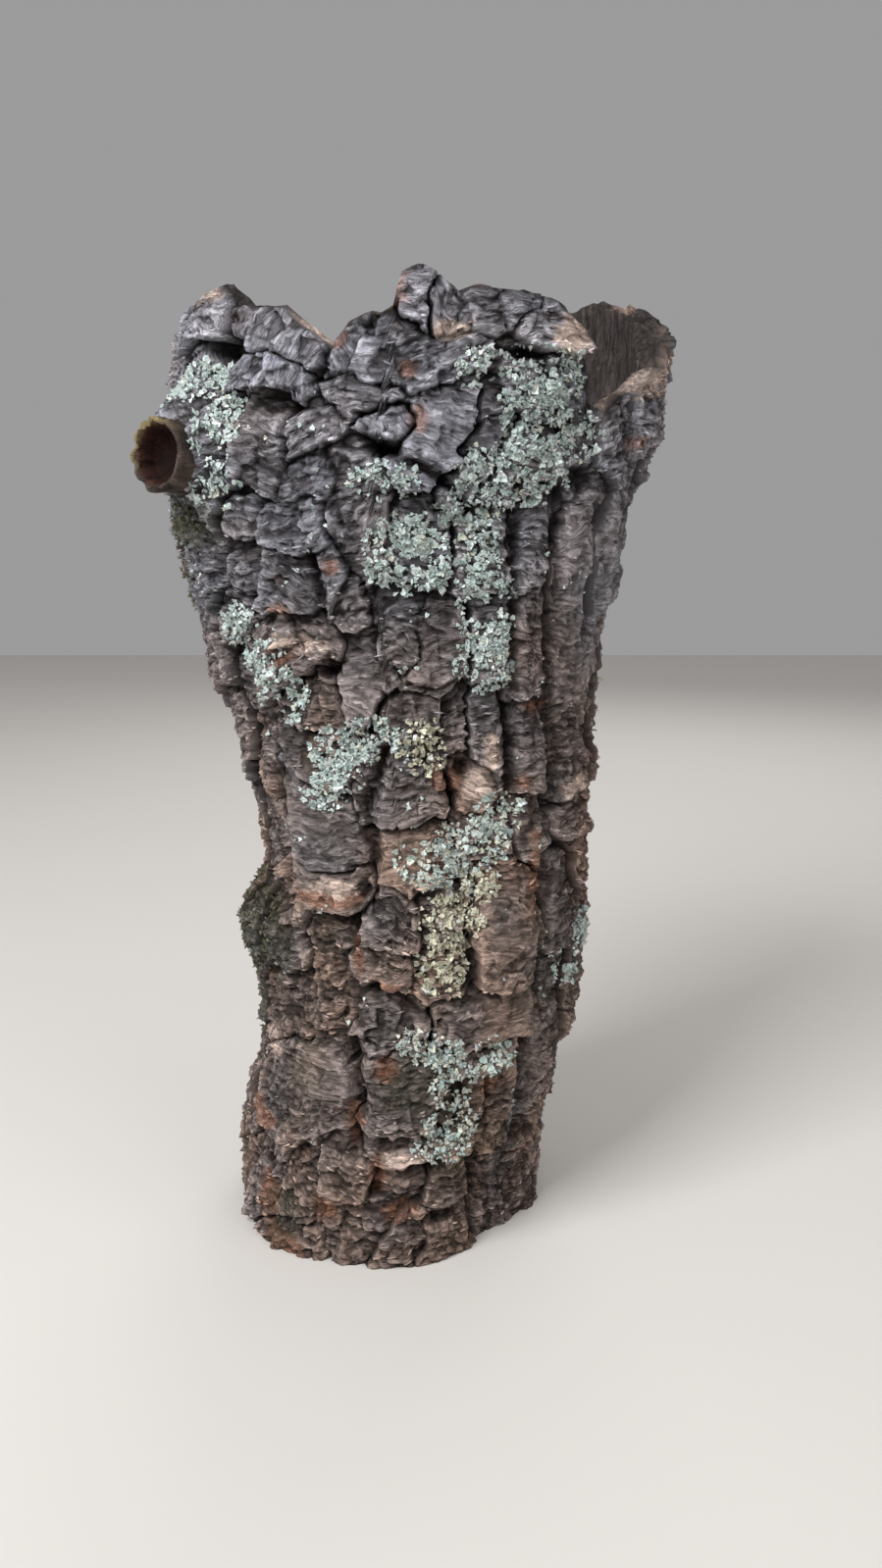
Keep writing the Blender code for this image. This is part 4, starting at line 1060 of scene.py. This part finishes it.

# %% [markdown]
# ## Lichen
#
# Leafy lichen is a crowd of small crinkled leaves that overlap like shingles, each with a painted
# highlight on its lifted edge. One leaf is a disc worked out from polar coordinates: its edge goes
# in and out, and it rises and ruffles more the farther it is from the middle. Thousands of them,
# each a little different, are laid on the finished bark as one big array for each patch.

# %% Where the lichen grows, and how a place on the bark is found
# Across (or an angle in degrees), up, half width and half height of each patch's parts
LICHENS = {
    "lichen_crown": [(66, 436, 26, 12), (70, 416, 14, 16), (88, 412, 12, 10), (60, 393, 24, 13)],
    "lichen_shoulder": [(4, 390, 12, 8)],
    "lichen_middle": [(12, 358, 14, 17), (34, 362, 18, 17), (40, 378, 12, 8), (50, 332, 12, 18),
                      (48, 308, 12, 12)],
    "lichen_left_flank": [(-66, 326, 12, 9), (-54, 308, 11, 10), (-43, 292, 10, 12)],
    "lichen_waist": [(-2, 274, 13, 10), (-18, 266, 14, 12), (-26, 250, 12, 12)],
    "lichen_pale_spot": [(21, 270, 9, 12)],
    "lichen_centre": [(24, 214, 14, 10), (42, 222, 15, 12), (32, 206, 12, 7), (56, 236, 11, 9)],
    "lichen_yellow_strip": [(44, 202, 10, 8), (33, 184, 13, 12), (31, 162, 12, 13)],
    "lichen_lower": [(22, 121, 13, 8), (42, 114, 20, 9), (36, 97, 12, 10)],
    "lichen_low_block": [(32, 78, 13, 7), (28, 66, 12, 7)],
    "lichen_right_edge": [(99, 165, 11, 10), (91, 148, 11, 10)],
}
LICHENS_BY_ANGLE = {
    "lichen_collar": [(-54, 436, 18, 9), (-43, 414, 9, 15), (-44, 388, 10, 9)],
    "lichen_right_side": [(112, 330, 18, 24), (104, 298, 12, 14)],
    "lichen_back_upper": [(172, 404, 24, 20), (190, 384, 18, 16)],
    "lichen_back_lower": [(214, 214, 18, 26), (204, 184, 14, 14)],
}
YELLOW_PATCHES = ("lichen_yellow_strip", "lichen_pale_spot")
LOW_PATCHES = ("lichen_centre", "lichen_lower", "lichen_low_block")


def grid_normals(points):
    """Outward normals of the softened grid, from the cross product of its two directions."""
    soft = np.stack([blur(points[..., k], 3) for k in range(3)], -1)
    soft[:, :5], soft[:, -5:] = points[:, :5], points[:, -5:]
    round_way = np.roll(soft, -2, axis=1) - np.roll(soft, 2, axis=1)
    up_way = np.gradient(soft, axis=0)
    normal = np.cross(round_way, up_way)
    return unit(normal, 1e-9)


OUTSIDE_NORMALS = grid_normals(outside)


def on_bark(field, angle, height):
    """Value of a field of the outside grid at any angle and height, blended from four points."""
    column = ((angle + math.pi) / (2 * math.pi) % 1.0) * COLUMNS
    i = np.floor(column).astype(int) % COLUMNS
    row = np.clip(height / rim[i] * (OUTER_ROWS - 1), 0, OUTER_ROWS - 1.001)
    j = np.floor(row).astype(int)
    u, v = (column % 1.0), row - j
    k = (i + 1) % COLUMNS
    if field.ndim == 3:
        u, v = u[:, None], v[:, None]
    return ((field[j, i] * (1 - u) + field[j, k] * u) * (1 - v)
            + (field[j + 1, i] * (1 - u) + field[j + 1, k] * u) * v)


# %% Leaves of lichen
LEAF_SIDES = 8
LEAF_RINGS = np.array([0.55, 1.0])  # shares of the way from the leaf's middle to its edge


def leaf_faces():
    """Faces of one leaf: a fan on top, a band round it, and a fan beneath that closes it."""
    around = np.arange(LEAF_SIDES)
    after = (around + 1) % LEAF_SIDES
    inner, outer = 1, 1 + LEAF_SIDES
    below = 1 + 2 * LEAF_SIDES
    return np.concatenate([
        np.stack([0 * around, inner + around, inner + after], -1),
        np.stack([inner + around, outer + around, outer + after], -1),
        np.stack([inner + around, outer + after, inner + after], -1),
        np.stack([0 * around + below, outer + after, outer + around], -1)])


def surface_frame(angle, height, tip, rng):
    """Place, outward direction and two directions across it, tipped by a random slant."""
    centre = on_bark(outside, angle, height)
    normal = unit(on_bark(OUTSIDE_NORMALS, angle, height) + rng.normal(0, tip, centre.shape))
    side = unit(np.cross(np.array([0.0, 0.0, 1.0]), normal), 1e-9)
    return centre, normal, side, np.cross(normal, side)


def scatter_leaves(angle, height, length, rng, stand=0.42):
    """Every leaf at once, as one array of points.

    A leaf is a disc stretched along its own direction, from its root to its tip. Its edge goes in
    and out with sin 3t, its tip lifts with the square of the way to it, and it ruffles with
    sin 4t. The last point is its root, below the bark.
    """
    count = len(angle)
    centre, normal, side, upward = surface_frame(angle, height, 0.30, rng)
    turn = np.arange(LEAF_SIDES) * 2 * math.pi / LEAF_SIDES
    phase = rng.uniform(0, 2 * math.pi, (count, 4, 1, 1))
    length, width = length[:, None, None], (length * rng.uniform(0.42, 0.75, count))[:, None, None]
    ring = LEAF_RINGS[None, :, None]
    edge = 1 + 0.28 * np.sin(3 * turn + phase[:, 0]) + 0.14 * np.sin(5 * turn + phase[:, 1])
    along = length * (0.42 + 0.58 * ring * np.cos(turn) * edge)
    across = width * ring * np.sin(turn) * edge
    lift = 0.35 + stand * length * (along / length).clip(0) ** 2 + 0.18 * width * ring**2
    lift = lift + 0.24 * width * ring * np.sin(4 * turn + phase[:, 2])
    heading = phase[:, 3, :, 0]
    forward = side * np.cos(heading) + upward * np.sin(heading)
    sideways = upward * np.cos(heading) - side * np.sin(heading)
    disc = (centre[:, None, None] + forward[:, None, None] * along[..., None]
            + sideways[:, None, None] * across[..., None] + normal[:, None, None] * lift[..., None])
    middle = centre + forward * 0.4 * length[:, 0] + normal * (0.35 + 0.10 * length[:, 0])
    root = centre + forward * 0.25 * length[:, 0] - normal * 0.8
    return np.concatenate([middle[:, None], disc.reshape(count, -1, 3), root[:, None]], axis=1)


def leaf_colour(count, base, dull, other, rng, mixed_in):
    """Colour of every point of every leaf: each leaf has its own tone, and a painted highlight makes
    its edge lighter than its middle.

    mixed_in is the share of the leaves that take the other colour instead.
    """
    tone = rng.uniform(-1, 1, (count, 1))
    # Painted highlight: 0.1 at the leaf's middle, rising to 1 at its edge, and -0.6 at its root
    # beneath.
    lit_edge = np.concatenate([[0.1], np.repeat(LEAF_RINGS, LEAF_SIDES) ** 2, [-0.6]])[None]
    mixed = blend(dull, base, np.clip(0.25 + 0.30 * tone + 0.75 * lit_edge, 0, 1))
    swap = rng.random((count, 1)) < mixed_in
    mixed = blend(mixed, other * (0.75 + 0.25 * lit_edge)[..., None], 0.65 * swap * np.ones_like(lit_edge))
    return mixed * (1.04 + 0.16 * tone)[..., None]


def add_leaves(name, points, colour, replaced=None):
    """One piece that holds all the leaves of a patch."""
    count, per_leaf = points.shape[:2]
    faces = repeated(FACES_OF_A_LEAF, count, per_leaf)
    mesh = mesh_from(name, to_place(points.reshape(-1, 3)), faces)
    set_colour(mesh, colour)
    piece = add_piece(name, mesh, LICHEN)
    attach(piece, "root")
    if replaced:
        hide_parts(replaced)
    return count


# %% Grow every patch
LEAVES_PER_SQUARE_CM, MOSS_PER_SQUARE_CM, STRAYS_PER_SQUARE_CM = 58, 34, 2.0
MOSTLY_ONE_KIND, MIXED_KINDS = 0.07, 0.4  # share of the leaves that take the other colour
FACES_OF_A_LEAF = leaf_faces()


def spots_in(blobs, by_angle, density, rng, spill=1.12):
    """Angles and heights scattered evenly over the blobs of a patch."""
    angles, heights = [], []
    for x, z, wide, tall in blobs:
        count = int(math.pi * wide * tall / 100 * density)
        away, turn = np.sqrt(rng.random(count)) * spill, rng.uniform(0, 2 * math.pi, count)
        height = z + tall * away * np.sin(turn)
        at = math.radians(x) * np.ones(count) if by_angle else angle_at(x, height)
        half = section_at(height)
        angles.append(at + wide * away * np.cos(turn) / (0.5 * (half[1] + half[3])))
        heights.append(height)
    return np.concatenate(angles), np.concatenate(heights)


def grow_patch(name, blobs, by_angle, seed):
    """Scatters leaves over a patch, thicker on the crests of the bark than in its furrows."""
    rng = np.random.default_rng(seed)
    angle, height = spots_in(blobs, by_angle, LEAVES_PER_SQUARE_CM, rng)
    gaps = skin_noise(angle, height, 9, 9, 191) + 1.2 * skin_noise(angle, height, 3.4, 3.4, 192)
    crest_here = on_bark(ridge, angle, height)
    keep = (gaps + 2.2 * (crest_here - 0.42) + rng.normal(0, 0.12, len(angle))) > -0.30
    keep &= height < rim_height(angle) - 2
    angle, height = angle[keep], height[keep]
    length = rng.uniform(1.0, 2.0, len(angle)) * (1 + 1.0 * rng.random(len(angle)) ** 3)
    points = scatter_leaves(angle, height, length, rng, stand=0.6)
    if name in YELLOW_PATCHES:
        colour = leaf_colour(len(angle), YELLOW_LICHEN, DULL_YELLOW, PALE_LICHEN, rng,
                             MOSTLY_ONE_KIND)
        return add_leaves(name + "_leaves", points, colour, name)
    mixed_in = MIXED_KINDS if name in LOW_PATCHES else MOSTLY_ONE_KIND
    colour = leaf_colour(len(angle), PALE_LICHEN, DULL_LICHEN, YELLOW_LICHEN, rng, mixed_in)
    return add_leaves(name + "_leaves", points, colour, name)


leaves = 0
for order, (name, blobs) in enumerate([*LICHENS.items(), *LICHENS_BY_ANGLE.items()]):
    leaves += grow_patch(name, blobs, name in LICHENS_BY_ANGLE, 200 + order)
print(leaves, "lichen leaves,", leaves * len(FACES_OF_A_LEAF), "triangles")

# %% Stray leaves and moss
stray_rng = np.random.default_rng(31)
STRAY_BLOBS = [
    (-5, 300, 70, 60), (40, 340, 60, 80), (70, 420, 40, 40), (10, 230, 60, 60), (40, 130, 50, 60),
    (-80, 400, 30, 50), (80, 330, 20, 40), (-15, 172, 8, 8), (84, 334, 6, 7), (-40, 420, 30, 25),
]
angle, height = spots_in(STRAY_BLOBS, False, STRAYS_PER_SQUARE_CM, stray_rng)
clumped = skin_noise(angle, height, 12, 12, 194) > 0.35
kept = clumped & (on_bark(ridge, angle, height) > 0.5) & (height < rim_height(angle) - 2)
angle, height = angle[kept], height[kept]
stray = scatter_leaves(angle, height, stray_rng.uniform(0.8, 2.3, len(angle)), stray_rng)
stray_colour = leaf_colour(len(angle), PALE_LICHEN, DULL_LICHEN, YELLOW_LICHEN, stray_rng,
                           MOSTLY_ONE_KIND)
add_leaves("stray_lichen", stray, stray_colour)

moss_rng = np.random.default_rng(32)
MOSS_BLOBS = [(-77, 166, 20, 26), (-66, 372, 16, 14), (-84, 118, 10, 16), (-80, 345, 8, 14)]
angle, height = spots_in(MOSS_BLOBS, True, MOSS_PER_SQUARE_CM, moss_rng)
kept = skin_noise(angle, height, 7, 7, 193) + 0.6 * moss_rng.normal(0, 1, len(angle)) > 0
angle, height = angle[kept], np.maximum(height[kept], 4)
moss = scatter_leaves(angle, height, moss_rng.uniform(0.7, 1.8, len(angle)), moss_rng, stand=0.7)
moss_colour = leaf_colour(len(angle), linear(124, 124, 98), linear(60, 58, 46), DULL_LICHEN,
                          moss_rng, MOSTLY_ONE_KIND)
add_leaves("moss_tufts", moss, moss_colour)
print(len(stray), "stray leaves and", len(moss), "tufts of moss")

# %% [markdown]
# ## Splinters
#
# The worn edge of each yearly layer frays into splinters that lie across the grain. They are what
# makes the bark look crisp. Each is a small closed lens whose lower edge stands off the bark, and
# it takes its colour from the bark under it, so it reads as part of it, with a painted highlight on
# its edge and painted shade on its underside.

# %% Splinters
SPLINTER_SIDES = 8


def splinters(angle, height, length, rng):
    """Every splinter at once: an ellipse with a rough edge, lifted along its lower side."""
    count = len(angle)
    centre, normal, side, upward = surface_frame(angle, height, 0.10, rng)
    column = np.round((angle + math.pi) / (2 * math.pi) * COLUMNS).astype(int) % COLUMNS
    row = np.clip(height / rim[column] * (OUTER_ROWS - 1), 0, OUTER_ROWS - 1).astype(int)
    slant = all_plates()[facts["owner"][row, column], 4] + rng.normal(0, 0.25, count)
    cosine, sine = np.cos(slant)[:, None], np.sin(slant)[:, None]
    forward, sideways = side * cosine - upward * sine, side * sine + upward * cosine
    turn = np.arange(SPLINTER_SIDES) * 2 * math.pi / SPLINTER_SIDES
    rough = 1 + rng.uniform(-0.3, 0.3, (count, SPLINTER_SIDES))
    tall = (length * rng.uniform(0.07, 0.15, count) + 0.12)[:, None]
    out = rng.uniform(0.35, 0.9, count)[:, None]
    across, up = length[:, None] * np.cos(turn) * rough, tall * np.sin(turn) * rough
    lift = out * (0.25 - 0.75 * np.sin(turn)) * np.abs(np.sin(turn)) ** 0.5 - 0.15
    edge = (centre[:, None] + forward[:, None] * across[..., None]
            + sideways[:, None] * up[..., None] + normal[:, None] * lift[..., None])
    top = centre + normal * (0.5 * out + 0.1)
    root = centre - normal * 1.0
    return np.concatenate([top[:, None], edge, root[:, None]], axis=1), row, column


def splinter_faces():
    """Faces of one splinter: a fan above its edge and a fan below it."""
    around = np.arange(SPLINTER_SIDES)
    after = (around + 1) % SPLINTER_SIDES
    return np.concatenate([np.stack([0 * around, 1 + around, 1 + after], -1),
                           np.stack([0 * around + 1 + SPLINTER_SIDES, 1 + after, 1 + around], -1)])


def frayed_places(count, rng):
    """Angles and heights of count places on rough crests, most of them on the front."""
    angle = rng.uniform(-math.pi, math.pi, 3 * count)
    height = rng.uniform(3, 478, 3 * count)
    on_front = 0.5 + 0.5 * smoothstep(-0.3, 0.3, np.cos(angle))
    kept = on_bark(ridge, angle, height) > rng.uniform(0.25, 0.6, len(angle))
    kept &= on_bark(facts["calm"], angle, height) < rng.uniform(0, 0.8, len(angle))
    kept &= (height < rim_height(angle) - 3) & (rng.random(len(angle)) < on_front)
    return angle[kept][:count], height[kept][:count]


# %% Lay the splinters
SPLINTERS = 8500
fray = np.random.default_rng(41)
angle, height = frayed_places(SPLINTERS, fray)
points, row, column = splinters(angle, height, fray.uniform(1.0, 3.0, len(angle)), fray)
per = SPLINTER_SIDES + 2
faces = repeated(splinter_faces(), len(points), per)
splinter_mesh = mesh_from("splinters", to_place(points.reshape(-1, 3)), faces)
brighter = 1.05 + 0.16 * fray.uniform(-1, 1, (len(points), 1, 1))
# Painted light on each splinter: its edge is painted 1.25 times lighter, a painted highlight, and
# its root 0.4 times as light, a painted shade on its underside.
shading = np.array([1.0] + [1.25] * SPLINTER_SIDES + [0.4])[None, :, None]
set_colour(splinter_mesh, colour[row, column][:, None] * brighter * shading)
set_attribute(splinter_mesh, "grain",
              np.repeat(np.stack([0 * angle, height, angle * 90], -1) * 0.5, per, axis=0))
splinter_piece = add_piece("splinters", splinter_mesh, BARK)
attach(splinter_piece, "root")
print(len(points), "splinters,", len(faces), "triangles")

# %% [markdown]
# ## Floor and light
#
# A plain pale floor, a large soft lamp at the upper left and two weak ones, at the right and
# behind, are enough. The big lamp stands well to one side, because light that rakes across bark
# shows its relief.

# %% Stage
floor_mesh = mesh_from("floor", np.array([(-3, -3, 0), (3, -3, 0), (3, 3, 0), (-3, 3, 0)], float),
                       [(0, 1, 2, 3)])
floor_paint = bpy.data.materials.new("pale floor")
floor_paint.use_nodes = True
fill(floor_paint.node_tree, floor_paint.node_tree.nodes["Principled BSDF"],
     {"Base Color": (0.72, 0.69, 0.65, 1), "Roughness": 0.8})
floor = add_piece("floor", floor_mesh, floor_paint)


def add_lamp(name, place, target, size, power, tint):
    """A square soft lamp at a place, aimed at a target."""
    lamp = bpy.data.objects.new(name, bpy.data.lights.new(name, "AREA"))
    bpy.context.scene.collection.objects.link(lamp)
    lamp.data.size, lamp.data.energy, lamp.data.color = size, power, tint
    aim = np.array(target) - np.array(place)
    lamp.location = place
    lamp.rotation_euler = (math.acos(-aim[2] / np.linalg.norm(aim)), 0,
                           math.atan2(aim[1], aim[0]) - math.pi / 2)
    return lamp


add_lamp("window light", (-1.0, -1.1, 1.5), (0, 0, 0.25), 0.9, 39, (0.98, 0.99, 1.0))
add_lamp("fill light", (1.3, -1.0, 0.9), (0, 0, 0.25), 1.4, 7, (1.0, 0.97, 0.94))
add_lamp("back light", (0.4, 1.5, 1.3), (0, 0, 0.3), 1.2, 8, (1.0, 1.0, 1.0))
world = bpy.data.worlds.new("soft room")
bpy.context.scene.world = world
world.use_nodes = True
fill(world.node_tree, world.node_tree.nodes["Background"],
     {"Color": (0.88, 0.87, 0.88, 1), "Strength": 0.38})
bpy.context.scene.view_settings.view_transform = "Standard"
